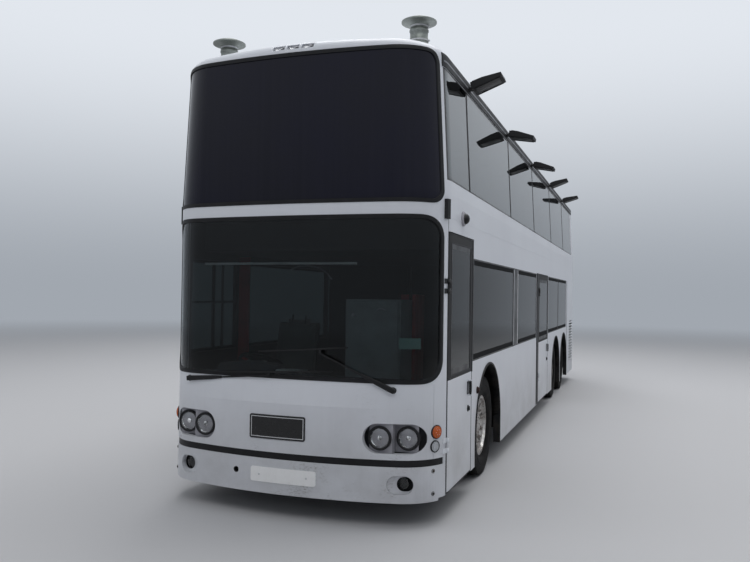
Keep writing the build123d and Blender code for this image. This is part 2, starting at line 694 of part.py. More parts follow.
def tyre_profile():
    half = TYRE_WIDE / 2
    outside = [(-RIM_SEAT, BEAD_R), (-RIM_SEAT, FLANGE_R + 1), (-0.95, BEAD_R + 70), (-1.0, BEAD_R + 125),
               (-0.94, TYRE_R - 20), (-0.84, TYRE_R)]
    inside = [(0.62, BEAD_R + 12), (0.84, BEAD_R + 90), (0.78, TYRE_R - 36)]
    points = [(x * half, r) for x, r in outside]
    points += [(-x * half, r) for x, r in reversed(outside)]
    points += [(x * half, r) for x, r in inside]
    points += [(-x * half, r) for x, r in reversed(inside)]
    return points


def rim_profile(disc_x, bore_r, hub_x):
    """Rim barrel, disc and hub, turned as one; the disc lies at disc_x from the tyre's middle."""
    return [
        (-RIM_LIP_X, FLANGE_R), (-BEAD_X, FLANGE_R), (-BEAD_X, BEAD_R), (BEAD_X, BEAD_R), (BEAD_X, FLANGE_R),
        (RIM_LIP_X, FLANGE_R), (RIM_LIP_X, RIM_IN_R), (disc_x + 24, BEAD_R - 22), (disc_x, HUB_R + 60),
        (disc_x, HUB_R - 10), (hub_x[1], HUB_R - 20), (hub_x[1], 0), (hub_x[1] - 20, 0),
        (hub_x[1] - 20, bore_r), (hub_x[0], bore_r), (hub_x[0], HUB_R), (disc_x - RIM_DISC_T, HUB_R),
        (disc_x - RIM_DISC_T, HUB_R + 60), (disc_x, BEAD_R - 26), (-RIM_LIP_X, RIM_IN_R),
    ]


FRONT_SPINDLE_END = 1120.0
TWIN_SPINDLE_END = 1040.0
HUB_CAP = 25.0
HUB_IN = 60.0
SINGLE_DISC_X = 70.0
HAND_HOLES = 10
HAND_HOLE_R = 26.0
HAND_HOLE_CIRCLE = 224.0
TWIN_HUB_OUT = 20.0
DRUM_BACK_X = 600.0


def pierce(rim, x, station):
    """Cuts the ring of round hand holes through a wheel's disc."""
    hole = Pos((x[0] + x[1]) / 2, 0, HAND_HOLE_CIRCLE) * Rot(0, 90, 0) * Cylinder(HAND_HOLE_R, x[1] - x[0])
    for i in range(HAND_HOLES):
        rim -= Pos(0, at(station), WHEEL_Z) * Rot(360 * i / HAND_HOLES, 0, 0) * hole
    return rim


def make_wheels():
    tyre_x = TYRE_OUT_X - TYRE_WIDE / 2
    for axle, station in (("front", FRONT_AXLE), ("tag", TAG_AXLE)):
        tyre = ring(tyre_profile(), tyre_x, station)
        hub_end = FRONT_SPINDLE_END + HUB_CAP - tyre_x
        rim = ring(rim_profile(SINGLE_DISC_X, SPINDLE_R + RUNNING, (-HUB_IN, hub_end)), tyre_x, station)
        rim = pierce(rim, (tyre_x, TYRE_OUT_X), station)
        put(f"{axle}_tyre_nearside", tyre)
        put(f"{axle}_tyre_offside", flip(tyre))
        put(f"{axle}_rim_nearside", rim)
        put(f"{axle}_rim_offside", flip(rim))
    inner_x = tyre_x - TYRE_WIDE - TWIN_GAP
    outer_tyre = ring(tyre_profile(), tyre_x, DRIVE_AXLE)
    inner_tyre = ring(tyre_profile(), inner_x, DRIVE_AXLE)
    middle = (tyre_x - inner_x) / 2
    barrel = [
        (-RIM_LIP_X, FLANGE_R), (-BEAD_X, FLANGE_R), (-BEAD_X, BEAD_R), (BEAD_X, BEAD_R), (BEAD_X, FLANGE_R),
        (RIM_LIP_X, FLANGE_R), (RIM_LIP_X, RIM_IN_R), (30 - RIM_LIP_X, BEAD_R - 24),
        (RIM_DISC_T - middle, DRUM_R + 40)]
    back = [(-middle, DRUM_R + 30), (-RIM_LIP_X, BEAD_R - 40)]
    bore = SPINDLE_R + RUNNING
    hub = [
        (RIM_DISC_T - middle, HUB_R), (TWIN_HUB_OUT, HUB_R - 15), (TWIN_HUB_OUT, 0), (TWIN_HUB_OUT - 20, 0),
        (TWIN_HUB_OUT - 20, bore), (DRUM_BACK_X - tyre_x, bore), (DRUM_BACK_X - tyre_x, DRUM_R), (-middle, DRUM_R)]
    disc = [(RIM_DISC_T - middle, DRUM_R), (-middle, DRUM_R)]
    outer_rim = ring(barrel + hub + back, tyre_x, DRIVE_AXLE)
    inner_rim = ring([(-x, r) for x, r in barrel + disc + back], inner_x, DRIVE_AXLE)
    twin_rim = pierce(outer_rim + inner_rim, (inner_x, tyre_x), DRIVE_AXLE)
    put("drive_tyre_nearside", outer_tyre, inner_tyre)
    put("drive_tyre_offside", flip(outer_tyre), flip(inner_tyre))
    put("drive_rim_nearside", twin_rim)
    put("drive_rim_offside", flip(twin_rim))


BEAM_HALF_T = 55.0
BEAM_LOW_Z = 200.0
BEAM_TOP_Z = 290.0
BOSS_R = 50.0
BOSS_Z = (445.0, 565.0)
LUG_T = 33.0
LUG_GAP = 2.0
LUG_REACH = 110.0
YOKE_T = 35.0
YOKE_HALF = 60.0
PIN_OVER = 10.0
BELLOWS_R = 75.0
BELLOWS_X = RAIL_X + RAIL_WIDE / 2
DRIVE_TUBE = (560.0, 85.0)
TAG_TUBE = (900.0, 70.0)
CASING_R = 190.0
CASING_STATIONS = (DRIVE_AXLE - 130.0, DRIVE_AXLE + 170.0)


def make_axles():
    outline = [(-KINGPIN_X, 450), (-760, 450), (-640, BEAM_LOW_Z), (640, BEAM_LOW_Z), (760, 450), (KINGPIN_X, 450),
               (KINGPIN_X, 560), (700, 560), (580, BEAM_TOP_Z), (-580, BEAM_TOP_Z), (-700, 560), (-KINGPIN_X, 560)]
    face = make_face(Polyline([(x, at(FRONT_AXLE), z) for x, z in outline], close=True))
    beam = extrude(face, BEAM_HALF_T, both=True)
    swing_z = (BEAM_LOW_Z, WHEEL_Z + WHEEL_Z - BEAM_LOW_Z)
    pin_z = (BOSS_Z[0] - LUG_T - PIN_OVER, BOSS_Z[1] + LUG_T + PIN_OVER)
    for x, beyond in ((KINGPIN_X, (KINGPIN_X, HALF)), (-KINGPIN_X, (-HALF, -KINGPIN_X))):
        beam -= upright(x, FRONT_AXLE, swing_z, BOSS_R)
        beam -= block(beyond, (FRONT_AXLE - 2 * BOSS_R, FRONT_AXLE + 2 * BOSS_R), swing_z)
        beam += upright(x, FRONT_AXLE, BOSS_Z, BOSS_R)
        beam += upright(x, FRONT_AXLE, pin_z, KINGPIN_R)
    put("front_axle", beam)
    put_both("air_springs", upright(BELLOWS_X, FRONT_AXLE, (BEAM_TOP_Z, RAIL_Z), BELLOWS_R))

    casing = lengthwise(0, CASING_STATIONS, WHEEL_Z, CASING_R)
    for station, spindle, (tube_half, tube_r) in (
        (DRIVE_AXLE, TWIN_SPINDLE_END, DRIVE_TUBE),
        (TAG_AXLE, FRONT_SPINDLE_END, TAG_TUBE),
    ):
        axle = across((-spindle, spindle), station, WHEEL_Z, SPINDLE_R)
        axle += across((-tube_half, tube_half), station, WHEEL_Z, tube_r)
        if station == DRIVE_AXLE:
            axle += casing
        put("rear_axles", axle)
        spring = upright(BELLOWS_X, station, (WHEEL_Z, REAR_RAIL_Z), BELLOWS_R)
        put_both("air_springs", spring - axle)

    lugs = (BOSS_Z[0] - LUG_T - LUG_GAP, BOSS_Z[1] + LUG_GAP)
    yoke_x = (KINGPIN_X + LUG_REACH - YOKE_T, KINGPIN_X + LUG_REACH)
    yoke_s = (FRONT_AXLE - YOKE_HALF, FRONT_AXLE + YOKE_HALF)
    knuckle = block(yoke_x, yoke_s, (lugs[0], lugs[1] + LUG_T))
    for low in lugs:
        span = (low, low + LUG_T)
        knuckle += upright(KINGPIN_X, FRONT_AXLE, span, BOSS_R)
        knuckle += block((KINGPIN_X, yoke_x[1]), (FRONT_AXLE - BOSS_R, FRONT_AXLE + BOSS_R), span)
    knuckle -= upright(KINGPIN_X, FRONT_AXLE, swing_z, KINGPIN_R + RUNNING)
    knuckle += across((yoke_x[1], FRONT_SPINDLE_END), FRONT_AXLE, WHEEL_Z, SPINDLE_R)
    put("knuckle_nearside", knuckle)
    put("knuckle_offside", flip(knuckle))


# Chassis and floors

RAIL_FRONT = BUMPER_END + 12.0
RAIL_RISE = (DRIVE_AXLE - 1100.0, DRIVE_AXLE - 750.0)
RAIL_END = LENGTH - 250.0
RAIL_CHAMFER = 45.0
CROSS_WIDE = 70.0
CROSS_DEEP = 70.0
FRONT_CROSSES = (RAIL_FRONT, FRONT_AXLE - 820.0)
MIDDLE_CROSSES = 4
FIRST_MIDDLE_CROSS = FRONT_AXLE + 810.0
LAST_MIDDLE_CROSS = RAIL_RISE[0] - 50.0
REAR_CROSSES = (STEP_STATION - CROSS_WIDE, DRIVE_AXLE + 700.0, TAG_AXLE + 750.0, RAIL_END - CROSS_WIDE)


def make_chassis():
    rail_outline = [
        (RAIL_FRONT, RAIL_Z), (RAIL_RISE[0], RAIL_Z), (RAIL_RISE[1], REAR_RAIL_Z), (RAIL_END, REAR_RAIL_Z),
        (RAIL_END, REAR_RAIL_TOP), (RAIL_RISE[1] - RAIL_CHAMFER, REAR_RAIL_TOP),
        (RAIL_RISE[0] - RAIL_CHAMFER, RAIL_TOP), (RAIL_FRONT, RAIL_TOP)]
    rail = side_plate(rail_outline, (RAIL_X, RAIL_X + RAIL_WIDE))
    frame = rail + flip(rail)
    inside = HALF - WALL
    step = (LAST_MIDDLE_CROSS - FIRST_MIDDLE_CROSS) / (MIDDLE_CROSSES - 1)
    crosses = list(FRONT_CROSSES) + [FIRST_MIDDLE_CROSS + i * step for i in range(MIDDLE_CROSSES)]
    for station in crosses:
        beam = block((-inside, inside), (station, station + CROSS_WIDE), (RAIL_TOP - CROSS_DEEP, RAIL_TOP))
        frame += beam & inner
    shelf_z = REAR_FLOOR_Z - FLOOR_T
    for station in REAR_CROSSES:
        stations = (station, station + CROSS_WIDE)
        frame += block((-inside, inside), stations, (shelf_z - CROSS_DEEP, shelf_z)) & inner
        for x in (-RAIL_X - RAIL_WIDE, RAIL_X):
            frame += block((x, x + RAIL_WIDE), stations, (REAR_RAIL_Z, shelf_z))
    put("chassis_frame", frame)

    for station, radius in ARCHES:
        liner = arch_space((LINER_X, inside), station, radius + LINER, SKIRT_Z + LINER_LOW)
        liner -= arch_space((LINER_X + LINER, FAR), station, radius)
        slot_s = (station - AXLE_SLOT, station + AXLE_SLOT)
        liner -= block((0, LINER_X + 2 * LINER), slot_s, (0, WHEEL_Z + AXLE_SLOT))
        lip = arch_space((inside - LIP, HALF + LIP_PROUD), station, radius, SKIRT_Z)
        lip -= arch_space(RIGHT, station, radius - LIP)
        put_both("wheel_arches", liner + lip)

    lower = inner & block(EVERYWHERE, (RAIL_FRONT, STEP_STATION), (RAIL_TOP, FLOOR_TOP))
    lower += inner & block(EVERYWHERE, (STEP_STATION, STEP_STATION + FLOOR_T), (RAIL_TOP, REAR_FLOOR_Z))
    lower += inner & block(EVERYWHERE, (STEP_STATION, LENGTH), (shelf_z, REAR_FLOOR_Z))
    for station, radius in ((FRONT_AXLE, FRONT_ARCH_R), (DRIVE_AXLE, REAR_ARCH_R)):
        space = arch_space((LINER_X, FAR), station, radius + LINER)
        lower = lower - space - flip(space)
    put("lower_floor", lower - frame)

    deck_low = UPPER_FLOOR_Z - UPPER_FLOOR_T
    riser = (CAB_LEDGE_END - UPPER_FLOOR_T, CAB_LEDGE_END)
    upper = inner & block(EVERYWHERE, (riser[0], LENGTH), (deck_low, UPPER_FLOOR_Z))
    upper += inner & block(EVERYWHERE, riser, (deck_low, CAB_LEDGE_Z))
    upper += inner & block(EVERYWHERE, (0, CAB_LEDGE_END), (CAB_LEDGE_Z - FLOOR_T, CAB_LEDGE_Z))
    put("upper_floor", upper)


ENGINE_Z = (500.0, 1080.0)
ENGINE_STATIONS = (LENGTH - 1260.0, LENGTH - 360.0)
ENGINE_HALF = 330.0
ENGINE_FEET = (160.0, 710.0)
ENGINE_FOOT = 80.0


def make_engine():
    engine = block((-ENGINE_HALF, ENGINE_HALF), ENGINE_STATIONS, ENGINE_Z)
    for back in ENGINE_FEET:
        first = ENGINE_STATIONS[0] + back
        engine += block((-RAIL_X, RAIL_X), (first, first + ENGINE_FOOT), (REAR_RAIL_Z, REAR_RAIL_TOP))
    put("engine_block", engine)


# Cab and saloons

STEER_X = -620.0
STEER_STATION = 800.0
STEER_Z = 1140.0
STEER_TILT = 35.0
STEER_R = 225.0
STEER_RIM_R = 16.0
DASH_FRONT = RAIL_FRONT
DASH_HALF = 1150.0
# Seat: cushion height, cushion thickness, depth, back height
SEAT_HIGH = 430.0
SEAT_T = 100.0
SEAT_DEEP = 430.0
SEAT_BACK_HIGH = 1050.0
SEAT_WIDE = 900.0
SEAT_X = 690.0
SEAT_PITCH = 830.0
SEAT_FIRST = 1500.0
SEAT_LAST = LENGTH - 1700.0
DRIVER_SEAT = (1020.0, 480.0)
CABINET = ((250.0, 760.0), (700.0, 1300.0), 1780.0)


def seat(x, station, floor, wide):
    """Bench facing the front, on a plinth."""
    span = (x - wide / 2, x + wide / 2)
    cushion = block(span, (station, station + SEAT_DEEP), (floor + SEAT_HIGH - SEAT_T, floor + SEAT_HIGH))
    back_s = station + SEAT_DEEP
    back = side_plate([(back_s - 50, floor + 400), (back_s + 40, floor + 400), (back_s + 130, floor + SEAT_BACK_HIGH),
                       (back_s + 70, floor + SEAT_BACK_HIGH)], span)
    plinth = (x - 0.3 * wide, x + 0.3 * wide)
    legs = block(plinth, (station + 150, station + 350), (floor, floor + SEAT_HIGH - SEAT_T))
    return cushion + back + legs


def make_cab():
    base = [(DASH_FRONT, FLOOR_TOP), (520, FLOOR_TOP), (520, 900), (640, 960), (620, 1090), (420, 1130),
            (DASH_FRONT, 1100)]
    dash = side_plate(base, (-DASH_HALF, DASH_HALF)) & form(WALL + 1)
    put("dashboard", dash)
    wheel_place = Pos(STEER_X, at(STEER_STATION), STEER_Z) * Rot(-STEER_TILT, 0, 0)
    rim = revolve(Plane.XZ * Pos(STEER_R, 0) * RegularPolygon(STEER_RIM_R, 8), Axis.Z)
    steering = wheel_place * rim
    for turn in (0, 120, 240):
        steering += wheel_place * Rot(0, 0, turn) * Pos(STEER_R / 2, 0, 0) * Box(STEER_R, 30, 12)
    steering += wheel_place * Cylinder(50, 30)
    steering += wheel_place * Pos(0, 0, -160) * Cylinder(35, 320)
    put("steering_wheel", steering - dash)
    put("driver_seat", seat(STEER_X, DRIVER_SEAT[0], FLOOR_TOP, DRIVER_SEAT[1]))
    put("cabinet", block(CABINET[0], CABINET[1], (FLOOR_TOP, CABINET[2])))
    for row in range(int((SEAT_LAST - SEAT_FIRST) / SEAT_PITCH) + 1):
        put_both("upper_seats", seat(SEAT_X, SEAT_FIRST + row * SEAT_PITCH, UPPER_FLOOR_Z, SEAT_WIDE))


# Small pieces outside

# Wiper table: pivot, arm's end, first and last end of the blade, as X and height
WIPERS = (
    ((896.0, 1077.0), (300.0, 1346.0), (-260.0, 1340.0), (520.0, 1400.0)),
    ((-961.0, 1081.0), (-150.0, 1150.0), (-700.0, 1150.0), (398.0, 1206.0)),
)
WIPER_BOSS_R = 22.0
WIPER_ARM_R = 9.0
WIPER_BLADE_R = 6.0
WIPER_LINK_R = 4.0
WIPER_CLEAR = 20.0


def make_wipers():
    gasket_face = form(-GASKET_PROUD)
    for pivot, tip, blade_a, blade_b in WIPERS:
        boss_s = nose_station(pivot[0], 0)
        arm_s = boss_s - WIPER_CLEAR
        tip_s = nose_station(tip[0]) - WIPER_CLEAR
        share = (tip[0] - blade_a[0]) / (blade_b[0] - blade_a[0])
        joint_z = blade_a[1] + share * (blade_b[1] - blade_a[1])
        boss = lengthwise(pivot[0], (arm_s - WIPER_ARM_R, boss_s + BROW_SET), pivot[1], WIPER_BOSS_R)
        wiper = rod((pivot[0], arm_s, pivot[1]), (tip[0], tip_s, tip[1]), WIPER_ARM_R)
        wiper += rod((tip[0], tip_s, tip[1]), (tip[0], tip_s, joint_z), WIPER_LINK_R)
        for end in (blade_a, blade_b):
            end_s = nose_station(end[0]) - WIPER_CLEAR
            wiper += rod((tip[0], tip_s, joint_z), (end[0], end_s, end[1]), WIPER_BLADE_R)
        put("wipers", (wiper - gasket_face) + (boss - outer))


# Corner lamp table: angle round the corner, height, radius, how proud
CORNER_LAMPS = ((30.0, 744.0, 58.0, 26.0), (32.0, 632.0, 50.0, 16.0))
MIRROR_BRACKET = ((368.0, 412.0), (2440.0, 2600.0))
MIRROR_BRACKET_T = 26.0
DOME_LAMP = (900.0, 2490.0)
DOME_BASE_R = 65.0
DOME_BASE_T = 20.0
DOME_R = 48.0
DOME_T = 40.0


def make_small_pieces():
    for angle, z, radius, proud in CORNER_LAMPS:
        out = Vector(cos(radians(angle)), -sin(radians(angle)), 0)
        base = Vector(CORNER_X, at(CORNER_SET), z) + out * (CORNER_R - proud)
        lamp = Plane(origin=base, z_dir=out) * Cylinder(radius, 4 * proud) - outer
        put_both("small_lamps", lamp)
    station, z = DOME_LAMP
    dome = across((HALF, HALF + DOME_BASE_T), station, z, DOME_BASE_R)
    dome += across((HALF + DOME_BASE_T, HALF + DOME_BASE_T + DOME_T), station, z, DOME_R)
    put("small_lamps", dome)
    stations, heights = MIRROR_BRACKET
    put_both("mirror_brackets", proud_zone(MIRROR_BRACKET_T, RIGHT, stations, heights))


make_front()
make_sides()
make_grille()
make_rear()
make_roof()
make_door("front_door", FRONT_DOOR)
make_door("middle_door", MIDDLE_DOOR)
make_lid_hinges()
make_wheels()
make_axles()
make_chassis()
make_engine()
make_cab()
make_wipers()
make_small_pieces()

for node, solids in nodes.items():
    export_step(solids[0] if len(solids) == 1 else Compound(solids), f"parts/{node}.step")
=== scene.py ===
"""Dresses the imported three-axle double deck coach: finishes, wheels, lamps, trim, seats and studio."""

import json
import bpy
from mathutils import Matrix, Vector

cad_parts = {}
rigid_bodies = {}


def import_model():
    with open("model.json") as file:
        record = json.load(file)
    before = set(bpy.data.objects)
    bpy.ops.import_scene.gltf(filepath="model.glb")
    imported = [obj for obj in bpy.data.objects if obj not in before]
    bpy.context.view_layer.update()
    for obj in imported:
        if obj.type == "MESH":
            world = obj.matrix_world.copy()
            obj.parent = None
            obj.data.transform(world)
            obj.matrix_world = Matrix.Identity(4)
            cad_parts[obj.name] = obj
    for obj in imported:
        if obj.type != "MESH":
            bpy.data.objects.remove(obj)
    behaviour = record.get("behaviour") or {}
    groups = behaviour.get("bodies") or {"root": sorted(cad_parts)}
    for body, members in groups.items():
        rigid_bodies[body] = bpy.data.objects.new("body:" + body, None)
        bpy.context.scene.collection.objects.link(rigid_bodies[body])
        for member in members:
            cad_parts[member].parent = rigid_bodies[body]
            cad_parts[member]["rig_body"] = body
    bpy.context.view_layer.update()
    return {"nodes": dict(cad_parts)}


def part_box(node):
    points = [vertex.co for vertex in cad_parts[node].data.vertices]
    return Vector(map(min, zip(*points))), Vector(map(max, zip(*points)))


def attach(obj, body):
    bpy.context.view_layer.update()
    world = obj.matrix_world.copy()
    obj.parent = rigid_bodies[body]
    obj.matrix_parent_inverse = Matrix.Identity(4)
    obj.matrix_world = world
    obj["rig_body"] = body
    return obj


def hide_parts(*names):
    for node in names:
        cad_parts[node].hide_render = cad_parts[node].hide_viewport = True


bl_info = {
    "name": "Double Deck Coach",
    "version": (1, 0, 0),
    "blender": (4, 5, 0),
    "location": "View3D > Sidebar > Coach",
    "description": "Finishes and small pieces of a three-axle double deck coach",
    "category": "Object",
}

from math import asin, atan2, copysign, cos, pi, radians, sin, sqrt

import bmesh
import bpy
from bpy.props import FloatProperty, FloatVectorProperty, IntProperty, PointerProperty
from mathutils import Matrix, Vector

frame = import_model()
NODES = frame["nodes"]
SIDES = (1, -1)

# Sizes of the body's form, in metres, as in the part's source
NOSE_Y, TAIL_Y = -6.0, 5.985
HALF = 1.25
CORNER_X, CORNER_SET, CORNER_R = 0.83, 0.52, 0.42
BROW_LOW_Z, BROW_TOP_Z, BROW_SET = 0.93, 1.115, 0.055
SHOULDER_Z, LEAN, EAVES_Z, EAVES_HALF = 2.65, 0.05241, 3.795, 1.1934
HEIGHT, CROWN_RISE, ROOF_R = 3.9, 0.05, 0.1

# Stations of the joints between panes, and the rear pane: half width, low and high
NEAR_LOWER_JOINTS = ((1.346, 3.656, 5.766), (7.224, 8.796, 10.356))
OFF_LOWER_JOINTS = ((0.444, 1.336), (1.346, 3.656, 5.996, 8.196, 10.356))
UPPER_JOINTS = (0.405, 1.2, 3.45, 5.5, 7.63, 9.7, 11.48)
REAR_PANE = (1.02, 2.79, 3.6)
# Doors: first and last station, top, window low and high
DOORS = {"front_door": (0.43, 1.33, 2.345, 1.16, 2.262), "middle_door": (5.995, 7.195, 2.18, 1.16, 2.1)}
# Corner lamps: angle round the corner, height, radius; dome lamp: station, height
INDICATOR, SIDE_LAMP = (30.0, 0.744, 0.058), (32.0, 0.632, 0.05)
DOME_LAMP = (0.9, 2.49)
# Fog lamp hole: distance from the middle, height, width, height of the hole; towing hole: X, height
FOG_LAMP = (0.955, 0.342, 0.2, 0.145)
TOW_EYE = (-0.434, 0.364)
# Marker slots in the roof dome: distances from the middle, size and depth, and how far the dome leans there
DOME_SLOTS, DOME_SLOT, DOME_SLOT_ANGLE = (-0.13, 0.0, 0.13), (0.112, 0.046, 0.022), 32.0
# Wipers: pivot, arm's end, first and last end of the blade, as distance from the middle and height
WIPERS = (
    ((0.896, 1.077), (0.3, 1.346), (-0.26, 1.34), (0.52, 1.4)),
    ((-0.961, 1.081), (-0.15, 1.15), (-0.7, 1.15), (0.398, 1.206)),
)
# Floodlights: station, tilt of the outer end above level
FLOODLIGHTS = ((1.3, 18.0), (3.35, -12.0), (5.45, -14.0), (7.55, 18.0), (9.65, 14.0))
# Wheels: a tyre's half width and radius, and how far out the face with the nuts and the hub's face lie
TYRE_HALF, TYRE_R = 0.15, 0.505
DISC_FACE = {"front": 1.12, "drive": 0.896, "tag": 1.12}
HUB_FACE = {"front": 1.145, "drive": 1.07, "tag": 1.145}
# Headlamps: distance from the middle, and how far the front of the lamp lies behind the nose; height
LAMPS = ((0.79, 0.095), (1.002, 0.168))
LAMP_Z = 0.7
# Seats: sizes of the pads, the back's lean, benches on a side, and the frames of a pad's simulation
SEAT_WIDE, CUSHION_DEEP, BACK_HIGH = 0.43, 0.44, 0.65
BACK_LEAN = radians(-10.5)
SEAT_ROWS = 11
PAD_FRAMES = 16
# Studio: radius of the floor, and the backdrop's colour where it meets the floor
FLOOR_R = 45.0
HORIZON = "#A1A7AF"
# Camera: place, turn about Z, tilt and roll in degrees, and focal length and picture width in pixels
CAMERA_AT, CAMERA_TURN = (2.711, -11.408, 1.821), (19.74, 1.07, 0.83)
FOCAL, PICTURE_WIDE = 742.4, 750
# Geometry node trees
RING, ROW = "Ring of pieces", "Row of pieces"


def at(x, station, z):
    """Point at a distance behind the nose."""
    return x, NOSE_Y + station, z


# Colours and nodes

def colour(code):
    """Linear colour of an sRGB hex value; a linear colour is passed on."""
    if not isinstance(code, str):
        return tuple(code)
    parts = [int(code[i:i + 2], 16) / 255 for i in (1, 3, 5)]
    return tuple(p / 12.92 if p <= 0.04045 else ((p + 0.055) / 1.055) ** 2.4 for p in parts) + (1.0,)


# A formula is a word and its values, each a number, a colour, a socket or another formula. The table gives
# what a word stands for: the node, its settings, its inputs in order and its output. Any other word is a math
# node's operation.
SPAN = ("Value", "From Min", "From Max", "To Min", "To Max")
WORDS = {
    "OBJECT": ("ShaderNodeTexCoord", {}, (), "Object"),
    "AHEAD": ("ShaderNodeTexCoord", {}, (), "Generated"),
    "STRETCH": ("ShaderNodeMapping", {}, ("Vector", "Scale"), 0),
    "NOISE": ("ShaderNodeTexNoise", {}, ("Vector", "Scale", "Detail", "Roughness"), 0),
    "CELLS": ("ShaderNodeTexVoronoi", {}, ("Vector", "Scale"), "Color"),
    "DOTS": ("ShaderNodeTexVoronoi", {}, ("Vector", "Scale"), "Distance"),
    "FLUTES": ("ShaderNodeTexWave", {"bands_direction": "X"}, ("Vector", "Scale"), "Fac"),
    "YARN": ("ShaderNodeTexWave", {"bands_direction": "DIAGONAL"}, ("Vector", "Scale", "Distortion"), "Fac"),
    "X": ("ShaderNodeSeparateXYZ", {}, (0,), "X"),
    "Y": ("ShaderNodeSeparateXYZ", {}, (0,), "Y"),
    "Z": ("ShaderNodeSeparateXYZ", {}, (0,), "Z"),
    "RED": ("ShaderNodeSeparateColor", {}, (0,), 0),
    "LENGTH": ("ShaderNodeVectorMath", {"operation": "LENGTH"}, (0,), "Value"),
    "RANGE": ("ShaderNodeMapRange", {}, SPAN, "Result"),
    "EASE": ("ShaderNodeMapRange", {"interpolation_type": "SMOOTHSTEP"}, SPAN, "Result"),
    "MIX": ("ShaderNodeMix", {"data_type": "RGBA"}, (0, 6, 7), 2),
    "BUMP": ("ShaderNodeBump", {}, ("Height", "Strength", "Distance"), 0),
    "CAMERA RAY": ("ShaderNodeLightPath", {}, (), "Is Camera Ray"),
    "GLOSSY RAY": ("ShaderNodeLightPath", {}, (), "Is Glossy Ray"),
    "TRANSMISSION RAY": ("ShaderNodeLightPath", {}, (), "Is Transmission Ray"),
}


def node(tree, kind, inputs=None, known=None, **settings):
    """Adds a node with its settings and inputs."""
    made = tree.nodes.new(kind)
    for name, value in settings.items():
        setattr(made, name, value)
    feed(tree, made, inputs or {}, known)
    return made


def feed(tree, target, inputs, known=None):
    """Sets or links a node's inputs. A formula makes its nodes once, however often it is named."""
    known = {} if known is None else known
    for key, value in inputs.items():
        if isinstance(value, tuple) and isinstance(value[0], str):
            if value not in known:
                word, *values = value
                kind, settings, names, output = WORDS.get(
                    word, ("ShaderNodeMath", {"operation": word}, (0, 1), 0))
                known[value] = node(tree, kind, dict(zip(names, values)), known, **settings).outputs[output]
            value = known[value]
        if isinstance(value, bpy.types.NodeSocket):
            tree.links.new(value, target.inputs[key])
        else:
            target.inputs[key].default_value = colour(value) if isinstance(value, str) else value


# Position on the object in metres
PLACE = ("OBJECT",)
X, Y, Z = ("X", PLACE), ("Y", PLACE), ("Z", PLACE)
# Rays that show the backdrop, not the lighting
SEEN = ("MAXIMUM", ("MAXIMUM", ("CAMERA RAY",), ("GLOSSY RAY",)), ("TRANSMISSION RAY",))


def patches(cells, detail, low, high, least=0.0, most=1.0, stretch=None, rough=0.5):
    """Formula of a mask: noise of so many cells a metre, spread from the least to the most share between two
    of its levels."""
    place = ("STRETCH", PLACE, stretch) if stretch else PLACE
    return "RANGE", ("NOISE", place, cells, detail, rough), low, high, least, most


def surface(name, base, roughness, tone=None, rough=None, relief=None, metallic=0.0, ior=1.5, links=None,
            **constants):
    """A material. Its constants stand on the shader's own sockets; tone, rough and relief are formulas, the
    last with its strength and its depth in metres."""
    made = bpy.data.materials.new(name)
    made.use_nodes = True
    shader = made.node_tree.nodes["Principled BSDF"]
    inputs = {"Base Color": colour(base), "Roughness": roughness, "Metallic": metallic}
    if metallic < 1:
        inputs["IOR"] = ior
    inputs.update((key.replace("_", " "), value) for key, value in constants.items())
    feed(made.node_tree, shader, inputs)
    inputs = {"Base Color": tone, "Roughness": rough, "Normal": relief and ("BUMP", *relief), **(links or {})}
    feed(made.node_tree, shader, {key: value for key, value in inputs.items() if value})
    return made


# Finishes

def behind_skin():
    """Formula that is 1 where the surface lies more than 9 mm inside the body's skin, which follows the
    corner, the lean, the roof's crown and the flat tail; there the paint gets its painted recess shade. The
    tail's corners are rounded, so the painted shade starts ahead of them."""
    over = ("MAXIMUM", ("SUBTRACT", ("ABSOLUTE", X), CORNER_X), 0.0)
    ahead = ("MINIMUM", ("SUBTRACT", Y, NOSE_Y + CORNER_SET), 0.0)
    reach = ("SQRT", ("ADD", ("MULTIPLY", over, over), ("MULTIPLY", ahead, ahead)))
    lean = ("MULTIPLY", ("MAXIMUM", ("SUBTRACT", Z, SHOULDER_Z), 0.0), LEAN)
    crown = ("MULTIPLY", ("MULTIPLY", X, X), CROWN_RISE / EAVES_HALF ** 2)
    depth = ("MINIMUM", ("SUBTRACT", ("SUBTRACT", CORNER_R, lean), reach),
             ("SUBTRACT", ("SUBTRACT", HEIGHT, crown), Z))
    return "GREATER_THAN", ("MINIMUM", depth, ("SUBTRACT", TAIL_Y - 0.16, Y)), 0.009


